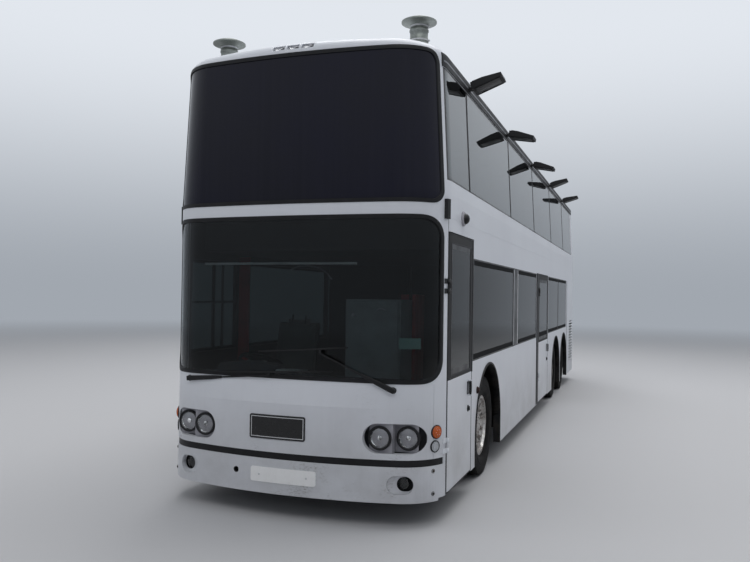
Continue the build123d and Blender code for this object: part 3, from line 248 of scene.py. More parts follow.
def coach_paint(name, base, grime_and_shade, scuffs=0.0, recess_shade=None, frame_above=None):
    """Two-pack coach enamel, sprayed: glossy with a faint orange peel, darker and browner towards the bottom,
    partly road dirt and partly painted shade, with faint runs of dirt washed down from the joints. Painted
    recess shade colours whatever lies behind the outer skin, and a frame the part of a door above a height."""
    # Darker towards the bottom: partly road dirt, partly painted shade of the lower panels, which the sky
    # lights less
    low = ("EASE", Z, 0.25, 1.3, 1.0, 0.0)
    dirt_and_shade = ("MULTIPLY", ("MULTIPLY", low, patches(2.2, 6.0, 0.3, 0.8, 0.35, rough=0.62)), 0.5)
    dirt_and_shade = ("ADD", dirt_and_shade, ("MULTIPLY", patches(1.0, 4.0, 0.5, 0.85, stretch=(18.0, 18.0, 0.7)), 0.03))
    if scuffs:
        marks = ("MULTIPLY", patches(34.0, 8.0, 0.5, 0.68, stretch=(1.0, 1.0, 2.4), rough=0.7),
                 patches(2.6, 3.0, 0.56, 0.74, rough=0.6))
        dirt_and_shade = ("ADD", dirt_and_shade, ("MULTIPLY", ("MULTIPLY", marks, low), scuffs))
    tone = ("MIX", patches(0.8, 2.0, 0.3, 0.7, most=0.25), base, "#CFCFD8")
    tone = ("MIX", dirt_and_shade, tone, grime_and_shade)
    # Behind the outer skin the colour goes near black: painted shade in the recesses
    if recess_shade:
        tone = ("MIX", behind_skin(), tone, recess_shade)
    rough = ("RANGE", dirt_and_shade, 0.0, 0.6, 0.34, 0.66)
    if frame_above:
        above = ("GREATER_THAN", Z, frame_above)
        tone = ("MIX", above, tone, "#0D0D0F")
        rough = ("MAXIMUM", rough, ("MULTIPLY", above, 0.7))
    # Orange peel is about 1 mm across on the real panel; it is drawn 8 mm across so that it shows
    return surface(name, base, 0.36, tone, rough, (("NOISE", PLACE, 130.0, 1.0), 0.03, 0.0006))


def glass(name, tint, ior, border=None):
    """Float glass: clear body with its tint, a thin film of dust in long runs, and a black baked border
    outside the heights given."""
    tone = ("MIX", patches(1.0, 5.0, 0.5, 0.85, most=0.08, stretch=(16.0, 16.0, 1.6)), tint, "#8C8C86")
    rough, links = None, {}
    if border:
        edge = ("MAXIMUM", ("LESS_THAN", Z, border[0]), ("GREATER_THAN", Z, border[1]))
        tone = ("MIX", edge, tone, "#0B0B0D")
        rough = ("RANGE", edge, 0.0, 1.0, 0.012, 0.7)
        links = {"Transmission Weight": ("SUBTRACT", 1.0, edge)}
    return surface(name, tint, 0.012, tone, rough, ior=ior, links=links, Transmission_Weight=1.0)


def lens(name, tint, transmission, dirt_share, roughness):
    """Polycarbonate, moulded: a tinted lens with upright flutes 6 mm wide inside it, dirty in patches."""
    tone = ("MIX", patches(30.0, 4.0, 0.45, 0.8, most=dirt_share), tint, "#5B4A3C")
    flutes = (("FLUTES", PLACE, 55.0), 0.6 * roughness + 0.09, 0.001)
    return surface(name, tint, roughness, tone, relief=flutes, Transmission_Weight=transmission)


def two_enamels(name, level, low_colour, line=None):
    """Enamel on pressed or cast steel, stoved: black above a level and plain white below it, lightly worn.
    A line is a silver border inside the edges given, as low and high X and low and high Z."""
    marks = patches(24.0, 5.0, 0.5, 0.8, most=0.5, rough=0.6)
    black, white = ("MIX", marks, "#0B0B0D", "#242428"), ("MIX", marks, low_colour, "#CFCECB")
    if line:
        reach = [("SUBTRACT", ("ABSOLUTE", ("SUBTRACT", along, (a + b) / 2)), (b - a) / 2)
                 for along, a, b in ((X, *line[:2]), (Z, *line[2:]))]
        inside = ("MAXIMUM", *reach)
        ring = ("MULTIPLY", ("GREATER_THAN", inside, -0.02), ("LESS_THAN", inside, -0.014))
        black = ("MIX", ring, black, "#C8C9CC")
    return surface(name, "#0C0C0E", 0.25, ("MIX", ("LESS_THAN", Z, level), black, white),
                   ("RANGE", marks, 0.0, 0.5, 0.22, 0.45))


def worn(name, base, other, roughness, mask, gain=0.0, **more):
    """A surface that goes over to another colour in patches, and gains roughness there."""
    rough = ("RANGE", mask, 0.0, 1.0, roughness, roughness + gain) if gain else None
    return surface(name, base, roughness, ("MIX", mask, base, other), rough, **more)


def plastic(name, base, faded, roughness):
    """ABS, moulded with a fine spark-eroded grain, or a coating like it: satin black, faded by the sun. The
    grain is 0.1 mm across; it is drawn 2 mm across so that it shows."""
    return worn(name, base, faded, roughness, patches(5.0, 4.0, 0.4, 0.8), 0.2, ior=1.4,
                relief=(("NOISE", PLACE, 500.0, 2.0), 0.5 * roughness, 0.0003))


# EPDM rubber: matt black that weathers to grey in patches 110 mm across. Its extruded grain is drawn 2.4 mm
# across so that it shows
RUBBER = {"mask": patches(9.0, 5.0, 0.42, 0.8, rough=0.6),
          "relief": (("NOISE", PLACE, 420.0, 2.0), 0.25, 0.0004), "ior": 1.35}
# Rolled or cast steel under thin paint: dark, with dust and rust breaking through, pitted every 9 mm
STEEL = {"mask": patches(9.0, 7.0, 0.5, 0.7, rough=0.68),
         "relief": (("NOISE", PLACE, 110.0, 3.0), 0.35, 0.001)}
# Melamine board or plain enamel: an even colour with faint handling marks and a slight wave every 11 mm
BOARD = {"mask": patches(7.0, 5.0, 0.45, 0.8, rough=0.6),
         "relief": (("NOISE", PLACE, 90.0, 2.0), 0.08, 0.0005), "gain": 0.2}

FINISH = {}


def make_finishes(settings):
    paint, film, cloth = (tuple(c) for c in (settings.paint_colour, settings.film_colour,
                                             settings.cloth_colour))
    # The near-black colour is painted shade in the recesses behind the skin; the dirt colour also carries the
    # painted shade low down
    recess_shade, dirt_and_shade = "#101013", "#8A857C"
    # Wheel steel: how far it is stained from the hub and the nuts; zinc: its spangle's greys, 7 mm across
    stain, grey = patches(11.0, 7.0, 0.46, 0.74, rough=0.66), ("RED", ("CELLS", PLACE, 140.0))
    bands = patches(1.0, 3.0, 0.35, 0.7, stretch=(26.0, 26.0, 0.25))
    # The yarn is 1.2 mm across; it is drawn 6 mm across so that it shows
    yarn = ("YARN", PLACE, 52.0, 1.5)
    FINISH.update({
        "paint": coach_paint("coach_enamel_sprayed", paint, dirt_and_shade, recess_shade=recess_shade),
        "side_paint": coach_paint("coach_enamel_cover", paint, dirt_and_shade),
        "front_paint": coach_paint("coach_enamel_front", paint, "#77726D", scuffs=0.8),
        "door_paint": coach_paint("coach_enamel_door", paint, dirt_and_shade, recess_shade=recess_shade, frame_above=1.135),
        "gasket": worn("epdm_rubber_extruded", "#0B0B0D", "#1B1B1F", 0.5, **RUBBER),
        "arch_rubber": worn("epdm_arch_rubber", "#121214", "#332F2B", 0.7, **RUBBER),
        "bellows": worn("bellows_rubber_moulded", "#161617", "#37312C", 0.75, **RUBBER),
        "rusty_rubber": worn("epdm_rubber_rust_stained", "#2A1A16", "#4A2A22", 0.75, **RUBBER),
        # Tyre tread compound, vulcanised: dark grey, dusty brown in the tread and near the bead, its grain
        # drawn 4 mm across so that it shows
        "tyre": worn("tyre_rubber_vulcanised", "#0E0E0F", "#2A2825", 0.9,
                     patches(14.0, 6.0, 0.42, 0.8, rough=0.65),
                     relief=(("NOISE", PLACE, 260.0, 3.0), 0.35, 0.0008), ior=1.3),
        "plastic": plastic("abs_moulded", "#0D0D0F", "#1B1B1F", 0.5),
        "powder": plastic("powder_coated_aluminium", "#0A0A0C", "#151417", 0.5),
        "gloss_black": plastic("enamel_fired_black", "#060608", "#0C0C10", 0.3),
        "windscreen": glass("laminated_glass_bent", "#92999B", 1.33),
        "side_glass": glass("toughened_glass_tinted", "#56696E", 1.75),
        "door_glass": glass("toughened_glass_tinted_door", "#4F5B5D", 1.16),
        "lower_glass": glass("toughened_glass_tinted_lower", "#3F4849", 1.15, (1.285, 2.108)),
        # Printed vinyl film on glass, wet laid: very dark blue under a clear gloss, faded in upright bands
        # 38 mm wide
        "film": surface("vinyl_film_on_glass", film, 0.12,
                        ("MIX", ("MULTIPLY", bands, 0.15),
                         ("MIX", patches(1.4, 3.0, 0.3, 0.75), film, "#12121D"), "#25242E"),
                        ("RANGE", bands, 0.0, 1.0, 0.1, 0.24),
                        (("NOISE", ("STRETCH", PLACE, (30.0, 30.0, 1.5)), 1.0, 2.0), 0.08, 0.001), ior=1.3),
        # Pressed steel, painted silver: dull, with rust stains that run out from the hub and the nuts, and
        # specks of brake dust 22 mm across
        "wheel": surface("wheel_steel_pressed", "#8E8A85", 0.42,
                         ("MIX", ("MULTIPLY", patches(45.0, 4.0, 0.55, 0.7), 0.6),
                          ("MIX", stain, "#B9B7B4", "#6A5A4E"), "#2C2420"),
                         ("RANGE", stain, 0.0, 1.0, 0.3, 0.72),
                         (("NOISE", PLACE, 60.0, 4.0), 0.3, 0.0008), 0.75,
                         links={"Metallic": ("RANGE", stain, 0.0, 1.0, 0.85, 0.25)}),
        # Zinc on spun steel: pale grey with a soft spangle, dull
        "zinc": surface("zinc_on_spun_steel", "#9DA09C", 0.45,
                        ("MIX", patches(8.0, 5.0, 0.35, 0.75, most=0.5),
                         ("MIX", grey, "#9BA09B", "#8A8F8B"), "#6C6F6A"),
                        ("RANGE", grey, 0.0, 1.0, 0.42, 0.54), metallic=0.85),
        "chassis": worn("chassis_paint_on_rolled_steel", "#161617", "#43332A", 0.6, **STEEL),
        "cast": worn("iron_sand_cast", "#343230", "#56412F", 0.7, metallic=0.4, **STEEL),
        # Aluminium, vacuum deposited on a moulded bowl: a mirror gone dull in patches, its reflections broken
        # by the bowl's own ripple, 18 mm across
        "reflector": worn("aluminium_vacuum_deposited", "#FFFFFF", "#57585C", 0.05,
                          patches(30.0, 4.0, 0.44, 0.62, stretch=(1.0, 1.0, 0.6)), 0.11,
                          relief=(("NOISE", PLACE, 55.0, 1.0), 0.35, 0.004), metallic=1.0),
        # Aluminium, extruded and anodised: dull silver with fine lines along its length, 3.3 mm apart
        "strip": worn("aluminium_anodised", "#8E8F93", "#66676B", 0.32,
                      patches(1.0, 3.0, 0.35, 0.7, stretch=(300.0, 2.0, 300.0)), 0.18, metallic=0.9),
        "clear_lens": lens("polycarbonate_clear", "#F8F9F9", 1.0, 0.12, 0.015),
        "amber": lens("polycarbonate_amber", "#E0650A", 0.3, 0.3, 0.12),
        "red_lens": lens("polycarbonate_red", "#9F1411", 0.3, 0.4, 0.12),
        # Wool moquette, woven: short pile 1.5 mm across in dark blue, with a small fleck every 25 mm, soft at
        # grazing angles
        "cloth": surface("wool_moquette_woven", cloth, 0.9,
                         ("MIX", ("RANGE", ("DOTS", PLACE, 40.0), 0.16, 0.24, 1.0, 0.0), cloth, "#7A3340"),
                         relief=(("NOISE", PLACE, 650.0, 1.0), 0.5, 0.001), Sheen_Weight=0.35,
                         Sheen_Roughness=0.5),
        # Wool cloth, plain woven: grey-green, a little shiny where it is sat on
        "driver_cloth": surface("wool_cloth_plain_woven", "#5C6460", 0.88,
                                ("MIX", patches(6.0, 4.0, 0.4, 0.8, most=0.5),
                                 ("MIX", ("MULTIPLY", yarn, 0.25), "#5C6460", "#3D4340"), "#737A74"),
                                relief=(yarn, 0.4, 0.0008), Sheen_Weight=0.3, Sheen_Roughness=0.5),
        # Vinyl sheet, calendered with a 4 mm fleck: hard dark grey floor, scuffed along the aisle
        "floor": surface("vinyl_sheet_calendered", "#3A3B3E", 0.6,
                         ("MIX", patches(4.0, 5.0, 0.5, 0.8, most=0.4),
                          ("MIX", patches(240.0, 2.0, 0.56, 0.62), "#35363A", "#6A6B70"), "#56524C")),
        "cabinet": worn("melamine_board_grey", "#9AA1A3", "#83898B", 0.45, **BOARD),
        "lamp_board": worn("lamp_board_moulded", "#A2A1A8", "#7F7D82", 0.35, **BOARD),
        "dash": worn("dash_vinyl_moulded", "#56585F", "#66645F", 0.6, **BOARD),
        # A dark wall across the saloon: painted shade that darkens the view through the windscreen
        "shade_wall": worn("shade_wall_painted_dark", "#24292A", "#303432", 0.5, **BOARD),
        "red_tube": worn("enamel_on_tube_red", "#B02020", "#7A1818", 0.35, **BOARD),
        "pale_tube": worn("enamel_on_tube_pale", "#F2F4F4", "#CFD2D1", 0.35, **BOARD),
        "label": worn("label_film_printed", "#A9CFC6", "#84B0A7", 0.5, **BOARD),
        "silver": worn("badge_border_foil", "#D2D3D6", "#9C9DA0", 0.35, **BOARD),
        "badge": two_enamels("plates_pressed_sheet", 0.5, "#F6F6F6", (-0.307, 0.195, 0.64, 0.836)),
        "hinge": two_enamels("hinges_cast_steel", 1.0, paint),
    })


# CAD nodes of each finish; tyres and rims go by their names
NODES_OF = {"chassis": "chassis_frame front_axle rear_axles", "floor": "lower_floor upper_floor",
            "paint": "side_lower_nearside side_lower_offside side_upper_nearside side_upper_offside "
                     "roof_panel rear_wall rear_bumper engine_lid louvre_grille",
            "front_paint": "front_surround front_panel front_bumper", "door_paint": "front_door middle_door",
            "gasket": "front_seals", "windscreen": "windscreen_lower", "film": "windscreen_upper",
            "lower_glass": "lower_glass middle_door_glass", "side_glass": "upper_glass",
            "door_glass": "front_door_glass",
            "plastic": "roof_rails fog_lamps wipers mirror_brackets steering_wheel", "powder": "floodlights",
            "cast": "engine_block knuckle_nearside knuckle_offside", "hinge": "door_hinges",
            "reflector": "headlamps", "amber": "small_lamps", "badge": "plates", "zinc": "roof_cowls",
            "arch_rubber": "wheel_arches", "bellows": "air_springs", "dash": "dashboard",
            "cloth": "driver_seat upper_seats", "cabinet": "cabinet"}
NODE_FINISH = {name: finish for finish, names in NODES_OF.items() for name in names.split()}
# Nodes whose curved faces are shown on a merged copy, by the angle in degrees above which an edge stays sharp
SMOOTH_NODES = {name: angle for angle, names in {
    2.5: "side_upper_nearside side_upper_offside side_lower_nearside side_lower_offside",
    9: "front_panel",
    20: "roof_rails",
    22: "front_surround front_bumper",
    25: "roof_panel rear_wall rear_bumper",
    28: "roof_cowls",
    30: "front_seals windscreen_lower windscreen_upper wheel_arches air_springs rear_axles knuckle_nearside "
        "knuckle_offside door_hinges",
    40: "steering_wheel",
}.items() for name in names.split()}


# Mesh helpers

def placed(name, data):
    """Object in the scene that shows a mesh, a lamp or a camera."""
    made = bpy.data.objects.new(name, data)
    bpy.context.scene.collection.objects.link(made)
    return made


def finish_piece(name, mesh, finish, body="coach", angle=35.0, stands_for=()):
    """Makes a mesh the finished piece of a body."""
    piece = placed(name, mesh)
    if finish:
        mesh.materials.clear()
        mesh.materials.append(FINISH[finish])
    mesh.shade_smooth()
    mesh.set_sharp_from_angle(angle=radians(angle))
    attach(piece, body)
    if stands_for:
        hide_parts(*stands_for)
    return piece


def mesh_from(bm, name, doubles=1e-5):
    """Mesh of a piece's faces, turned outwards; points closer than the doubles distance are merged."""
    if doubles:
        bmesh.ops.remove_doubles(bm, verts=bm.verts, dist=doubles)
    bmesh.ops.recalc_face_normals(bm, faces=bm.faces)
    mesh = bpy.data.meshes.new(name)
    bm.to_mesh(mesh)
    bm.free()
    return mesh


def turned(bm, profile, place, segments, closed=False):
    """Surface turned about the local Z axis of a place; the profile is distance along the axis and radius."""
    rings = []
    for along, radius in profile:
        if radius < 1e-6:
            rings.append([bm.verts.new(place @ Vector((0, 0, along)))])
            continue
        turns = [2 * pi * i / segments for i in range(segments)]
        rings.append([bm.verts.new(place @ Vector((radius * cos(t), radius * sin(t), along))) for t in turns])
    pairs = list(zip(rings, rings[1:]))
    if closed:
        pairs.append((rings[-1], rings[0]))
    for a, b in pairs:
        for i in range(segments):
            j = (i + 1) % segments
            corners = [a[i % len(a)], a[j % len(a)], b[j % len(b)], b[i % len(b)]]
            corners = [v for k, v in enumerate(corners) if v not in corners[:k]]
            if len(corners) > 2:
                bm.faces.new(corners)


def cuboid(bm, low, high, bevel, place=Matrix.Identity(4)):
    """Box between two opposite corners, its edges rounded unless the bevel is 0."""
    size = [abs(b - a) for a, b in zip(low, high)]
    middle = [(a + b) / 2 for a, b in zip(low, high)]
    matrix = place @ Matrix.Translation(middle) @ Matrix.Diagonal((*size, 1.0))
    made = bmesh.ops.create_cube(bm, size=1.0, matrix=matrix)
    if bevel:
        edges = {e for v in made["verts"] for e in v.link_edges}
        bmesh.ops.bevel(bm, geom=list(edges), offset=bevel, segments=2, affect="EDGES", profile=0.5)


def skinned(bm, rings, closed=False):
    """Faces between rings of as many points, one after the other, with flat ends or closed on itself."""
    for a, b in zip(rings, rings[1:] + (rings[:1] if closed else [])):
        for k in range(len(a)):
            n = (k + 1) % len(a)
            bm.faces.new((a[k], a[n], b[n], b[k]))
    if not closed:
        bm.faces.new(rings[0])
        bm.faces.new(rings[-1])


def axis_place(point, axis):
    """Matrix that puts the local Z axis along an axis at a point."""
    return Matrix.Translation(point) @ Vector(axis).to_track_quat("Z", "Y").to_matrix().to_4x4()


def pipe(bm, points, radius, segments, closed=False):
    """Round tube through points, with flat ends or closed on itself."""
    points = [Vector(p) for p in points]
    last = len(points) - 1
    rings = []
    for i, point in enumerate(points):
        after = points[(i + 1) % (last + 1)] if closed else points[min(i + 1, last)]
        along = (after - points[i - 1 if closed else max(i - 1, 0)]).normalized()
        place = axis_place(point, along)
        turns = [2 * pi * k / segments for k in range(segments)]
        rings.append([bm.verts.new(place @ Vector((radius * cos(t), radius * sin(t), 0))) for t in turns])
    for a, b in zip(rings, rings[1:] + (rings[:1] if closed else [])):
        turn = min(range(segments), key=lambda k: (b[k].co - a[0].co).length) if closed else 0
        for k in range(segments):
            n = (k + 1) % segments
            bm.faces.new((a[k], a[n], b[(n + turn) % segments], b[(k + turn) % segments]))
    if not closed:
        bm.faces.new(rings[0])
        bm.faces.new(rings[-1])


def smooth_copy(name, finish, angle):
    """Merged copy of a CAD node, smooth except at its sharp edges, shown in the node's place."""
    bm = bmesh.new()
    bm.from_mesh(NODES[name].data)
    bmesh.ops.remove_doubles(bm, verts=bm.verts, dist=2e-5)
    mesh = bpy.data.meshes.new(name + "_skin")
    bm.to_mesh(mesh)
    bm.free()
    body = NODES[name]["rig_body"]
    return finish_piece(name + "_skin", mesh, finish, body, angle, stands_for=(name,))


# Geometry node trees for what repeats

def repeat_tree(name):
    """Copies the object's own mesh in a row, or in a ring round an axis along X, joins it and gives it a
    material."""
    tree = bpy.data.node_groups.new(name, "GeometryNodeTree")
    for label, kind in (("Geometry", "Geometry"), ("Count", "Int"), ("Step", "Vector"), ("Place", "Vector"),
                        ("Material", "Material")):
        tree.interface.new_socket(label, in_out="INPUT", socket_type="NodeSocket" + kind)
    tree.interface.new_socket("Geometry", in_out="OUTPUT", socket_type="NodeSocketGeometry")
    given = tree.nodes.new("NodeGroupInput").outputs
    line = node(tree, "GeometryNodeMeshLine", {"Count": given["Count"]}, mode="OFFSET")
    copies = node(tree, "GeometryNodeInstanceOnPoints",
                  {"Points": line.outputs[0], "Instance": given["Geometry"]})
    if name == RING:
        line.inputs["Offset"].default_value = (0.0, 0.0, 0.0)
        index = node(tree, "GeometryNodeInputIndex").outputs[0]
        turn = ("MULTIPLY", ("DIVIDE", index, given["Count"]), 2 * pi)
        angles = node(tree, "ShaderNodeCombineXYZ", {"X": turn}).outputs[0]
        tree.links.new(angles, copies.inputs["Rotation"])
    else:
        tree.links.new(given["Step"], line.inputs["Offset"])
    real = node(tree, "GeometryNodeRealizeInstances", {"Geometry": copies.outputs[0]})
    moved = node(tree, "GeometryNodeTransform", {"Geometry": real.outputs[0], "Translation": given["Place"]})
    done = node(tree, "GeometryNodeSetMaterial",
                {"Geometry": moved.outputs[0], "Material": given["Material"]})
    out = tree.nodes.new("NodeGroupOutput")
    tree.links.new(done.outputs[0], out.inputs[0])
    return tree


def repeated(mesh, name, finish, count, place, step=(0.0, 0.0, 0.0)):
    """Mesh that a tree makes of a mesh."""
    tree = bpy.data.node_groups.get(name) or repeat_tree(name)
    source = placed("repeat_source", mesh)
    modifier = source.modifiers.new("Repeat", "NODES")
    modifier.node_group = tree
    values = {"Count": count, "Step": step, "Place": place, "Material": FINISH[finish]}
    for item in tree.interface.items_tree:
        if item.in_out == "INPUT" and item.name in values:
            modifier[item.identifier] = values[item.name]
    graph = bpy.context.evaluated_depsgraph_get()
    made = bpy.data.meshes.new_from_object(source.evaluated_get(graph))
    bpy.data.objects.remove(source)
    return made


def joined(meshes, name):
    """One mesh of several, with their materials kept."""
    bm = bmesh.new()
    materials = []
    for mesh in meshes:
        start = len(bm.faces)
        bm.from_mesh(mesh)
        bm.faces.ensure_lookup_table()
        slots = []
        for entry in mesh.materials:
            if entry not in materials:
                materials.append(entry)
            slots.append(materials.index(entry))
        for face in bm.faces[start:]:
            face.material_index = slots[face.material_index] if slots else 0
    made = bpy.data.meshes.new(name)
    bm.to_mesh(made)
    bm.free()
    for entry in materials:
        made.materials.append(entry)
    return made


# Settings

class CoachSettings(bpy.types.PropertyGroup):
    paint_colour: FloatVectorProperty(name="Paint colour", description="Colour of the body's enamel",
                                      subtype="COLOR", size=4, default=colour("#E3E6EC"))
    film_colour: FloatVectorProperty(name="Film colour", description="Colour of the film on the upper screen",
                                     subtype="COLOR", size=4, default=colour("#0F0F22"))
    cloth_colour: FloatVectorProperty(name="Cloth colour", description="Ground colour of the seat cloth",
                                      subtype="COLOR", size=4, default=colour("#1F2438"))
    tread_lugs: IntProperty(name="Tread lugs", description="Lugs round each shoulder of a tyre", default=64,
                            min=12)
    wheel_nuts: IntProperty(name="Wheel nuts", description="Nuts that hold each wheel", default=10, min=5)
    nut_circle: FloatProperty(name="Nut circle radius", description="Radius of the ring of wheel nuts",
                              default=0.1675, unit="LENGTH")
    seat_pitch: FloatProperty(name="Seat pitch", description="Distance from one bench to the next",
                              default=0.83, unit="LENGTH")
    floor_colour: FloatVectorProperty(name="Floor colour", description="Colour of the studio floor",
                                      subtype="COLOR", size=4, default=colour("#C4C4C6"))
    lamp_power: FloatProperty(name="Lamp power", description="Power of the studio's soft lamps",
                              default=250.0, unit="POWER")


# Operators

class COACH_OT_finishes(bpy.types.Operator):
    """Gives every CAD node its finish"""
    bl_idname = "coach.finishes"
    bl_label = "Finishes"

    def execute(self, context):
        make_finishes(context.scene.coach_settings)
        for name, node_object in NODES.items():
            finish = NODE_FINISH.get(name)
            if finish is None:
                finish = "tyre" if "_tyre_" in name else "wheel"
            node_object.data.materials.clear()
            node_object.data.materials.append(FINISH[finish])
            if name in SMOOTH_NODES:
                smooth_copy(name, finish, SMOOTH_NODES[name])
        return {"FINISHED"}


def tyre_mesh(middle_x, centre, lugs):
    """Carcass with ribs and grooves, and a row of lugs on each shoulder."""
    half = [(0.0, 0.505), (0.017, 0.505), (0.019, 0.493), (0.029, 0.493), (0.031, 0.504), (0.063, 0.503),
            (0.065, 0.491), (0.075, 0.491), (0.077, 0.501), (0.102, 0.498), (0.104, 0.488), (0.112, 0.487)]
    wall = [(0.139, 0.478), (0.143, 0.468), (0.1475, 0.452), (0.15, 0.42), (0.15, 0.405), (0.1478, 0.402),
            (0.1478, 0.396), (0.1498, 0.393), (0.148, 0.365), (0.142, 0.338), (0.133, 0.322), (0.129, 0.318),
            (0.128, 0.306), (0.118, 0.303), (0.108, 0.302), (0.108, 0.288)]
    inner = [(0.092, 0.3), (0.125, 0.378), (0.118, 0.468)]
    outline = half + wall
    outline = [(-x, r) for x, r in reversed(outline[1:])] + outline
    bm = bmesh.new()
    turned(bm, outline + inner + [(-x, r) for x, r in reversed(inner)],
           axis_place((middle_x, 0, 0), (1, 0, 0)), 96, closed=True)
    carcass = mesh_from(bm, "carcass")
    carcass.transform(Matrix.Translation(centre))
    carcass.materials.append(FINISH["tyre"])
    lug = bmesh.new()
    width = 2 * pi * TYRE_R / lugs * 0.36
    points = [(0.108, 0.484), (0.14, 0.474), (0.1455, 0.462), (0.1405, 0.4895), (0.129, 0.4965),
              (0.108, 0.4985)]
    for side in SIDES:
        skinned(lug, [[lug.verts.new((middle_x + side * x, y, r)) for x, r in points]
                      for y in (-width, width)])
    return joined([carcass, repeated(mesh_from(lug, "lug"), RING, "tyre", lugs, centre)], "tyre")


def wheels():
    """Each axle's wheel on each side: axle, side, sign of X, and the tyre's box and centre."""
    for axle in ("front", "drive", "tag"):
        for side, sign in zip(("nearside", "offside"), SIDES):
            low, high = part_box(f"{axle}_tyre_{side}")
            yield axle, side, sign, low, high, Vector((0, (low.y + high.y) / 2, (low.z + high.z) / 2))


class COACH_OT_tyres(bpy.types.Operator):
    """Makes the tyres, with ribs, grooves and shoulder lugs"""
    bl_idname = "coach.tyres"
    bl_label = "Tyres"

    def execute(self, context):
        lugs = context.scene.coach_settings.tread_lugs
        for axle, side, sign, low, high, centre in wheels():
            name = f"{axle}_tyre_{side}"
            middles = [sign * (max(abs(low.x), abs(high.x)) - TYRE_HALF)]
            if high.x - low.x > 3 * TYRE_HALF:
                middles.append(sign * (min(abs(low.x), abs(high.x)) + TYRE_HALF))
            mesh = joined([tyre_mesh(x, centre, lugs) for x in middles], name + "_tread")
            finish_piece(name + "_tread", mesh, None, f"{axle}_wheel_{side}", 30, (name,))
        return {"FINISHED"}


class COACH_OT_wheel_nuts(bpy.types.Operator):
    """Makes the wheel nuts and the hub flanges with their studs"""
    bl_idname = "coach.wheel_nuts"
    bl_label = "Wheel nuts"

    def execute(self, context):
        settings = context.scene.coach_settings
        for axle, side, sign, _, _, centre in wheels():
            nut, out = bmesh.new(), (sign, 0, 0)
            place = axis_place((sign * DISC_FACE[axle], 0, settings.nut_circle), out)
            turned(nut, [(-0.004, 0.0), (-0.004, 0.023), (0.004, 0.023), (0.006, 0.021)], place, 16)
            turned(nut, [(0.004, 0.0185), (0.026, 0.0185), (0.029, 0.016), (0.029, 0.0)], place, 6)
            turned(nut, [(0.027, 0.0), (0.027, 0.011), (0.04, 0.011), (0.042, 0.009), (0.042, 0.0)], place,
                   12)
            stud = bmesh.new()
            turned(stud, [(-0.004, 0.0), (-0.004, 0.011), (0.006, 0.011), (0.008, 0.009), (0.008, 0.0)],
                   axis_place((sign * HUB_FACE[axle], 0, 0.078), out), 6)
            mesh = joined([repeated(mesh_from(nut, "nut"), RING, "wheel", settings.wheel_nuts, centre),
                           repeated(mesh_from(stud, "hub_bolt"), RING, "wheel", 8, centre)], "nuts")
            finish_piece(f"{axle}_nuts_{side}", mesh, None, f"{axle}_wheel_{side}", 30)
        return {"FINISHED"}


class COACH_OT_headlamps(bpy.types.Operator):
    """Makes the twin round headlamps on their stepped boards"""
    bl_idname = "coach.headlamps"
    bl_label = "Headlamps"

    def execute(self, context):
        board_low, board_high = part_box("headlamps")
        parts = Pieces("headlamp_", boards="lamp_board", bezels="plastic", bowls="reflector",
                       glasses="clear_lens")
        half = (board_high.z - board_low.z) / 2
        low, high = LAMP_Z - half + 0.002, LAMP_Z + half - 0.002
        inner, outer = (set_back + 0.022 for _, set_back in LAMPS)
        bezel = [(-0.05, 0.078), (-0.05, 0.094), (-0.004, 0.0965), (0.0, 0.094), (0.001, 0.084),
                 (-0.003, 0.077), (-0.012, 0.0755)]
        bowl = [(-0.052, 0.0), (-0.051, 0.018), (-0.046, 0.036), (-0.036, 0.055), (-0.02, 0.071),
                (-0.012, 0.0755)]
        bulb = [(-0.05, 0.0), (-0.05, 0.016), (-0.026, 0.021), (-0.016, 0.019), (-0.011, 0.009), (-0.01, 0.0)]
        cap = [(-0.01, 0.0755), (-0.006, 0.075), (-0.001, 0.064), (0.003, 0.044), (0.0055, 0.022),
               (0.006, 0.0)]
        rear = [(a - 0.004, r - 0.001 if r else 0.0) for a, r in reversed(cap)]
        for side in SIDES:
            # The stepped board: its inner and outer faces, and the riser between them
            for x0, x1, s0, s1 in ((0.7, 0.897, inner, inner + 0.009), (0.889, 1.083, outer, outer + 0.009),
                                   (0.889, 0.897, inner, outer + 0.008)):
                cuboid(parts.boards, at(side * x0, s0, low), at(side * x1, s1, high), 0.002)
            for x, set_back in LAMPS:
                place = axis_place(at(side * x, set_back, LAMP_Z), (0, -1, 0))
                turned(parts.bezels, bezel, place, 48, True)
                turned(parts.bowls, bowl, place, 48)
                turned(parts.bowls, bulb, place, 24)
                turned(parts.glasses, rear + cap, place, 48)
        parts.put(doubles=1e-5, boards="headlamps")
        return {"FINISHED"}


def on_skin(side, station, z, out):
    """Point on the nearside (1) or offside (-1) skin of the body, moved outwards."""
    turn = asin(max(0.0, CORNER_SET - station) / CORNER_R)
    middle = CORNER_X - max(0.0, z - SHOULDER_Z) * LEAN
    reach = CORNER_R + out
    along = NOSE_Y + max(station, CORNER_SET) - reach * sin(turn)
    return Vector((side * (middle + reach * cos(turn)), along, z))


def on_nose(x, z, out):
    """Point on the front skin at a distance from the middle, moved outwards."""
    set_back = BROW_SET * min(1.0, max(0.0, (z - BROW_LOW_Z) / (BROW_TOP_Z - BROW_LOW_Z)))
    back = CORNER_SET - set_back
    bow = (CORNER_X ** 2 + back ** 2 - CORNER_R ** 2) / (2 * (back - CORNER_R))
    if abs(x) * (bow - CORNER_R) < CORNER_X * bow:
        turn = asin(x / bow)
        return Vector(((bow + out) * sin(turn), NOSE_Y + set_back + bow - (bow + out) * cos(turn), z))
    turn = asin((abs(x) - CORNER_X) / CORNER_R)
    reach = CORNER_R + out
    across = copysign(CORNER_X + reach * sin(turn), x)
    return Vector((across, NOSE_Y + CORNER_SET - reach * cos(turn), z))


def on_roof(x, station, out):
    """Point on the roof's crown, moved up."""
    radius = (EAVES_HALF ** 2 + CROWN_RISE ** 2) / (2 * CROWN_RISE)
    return Vector((x, NOSE_Y + station, HEIGHT - radius + sqrt(radius ** 2 - x ** 2) + out))


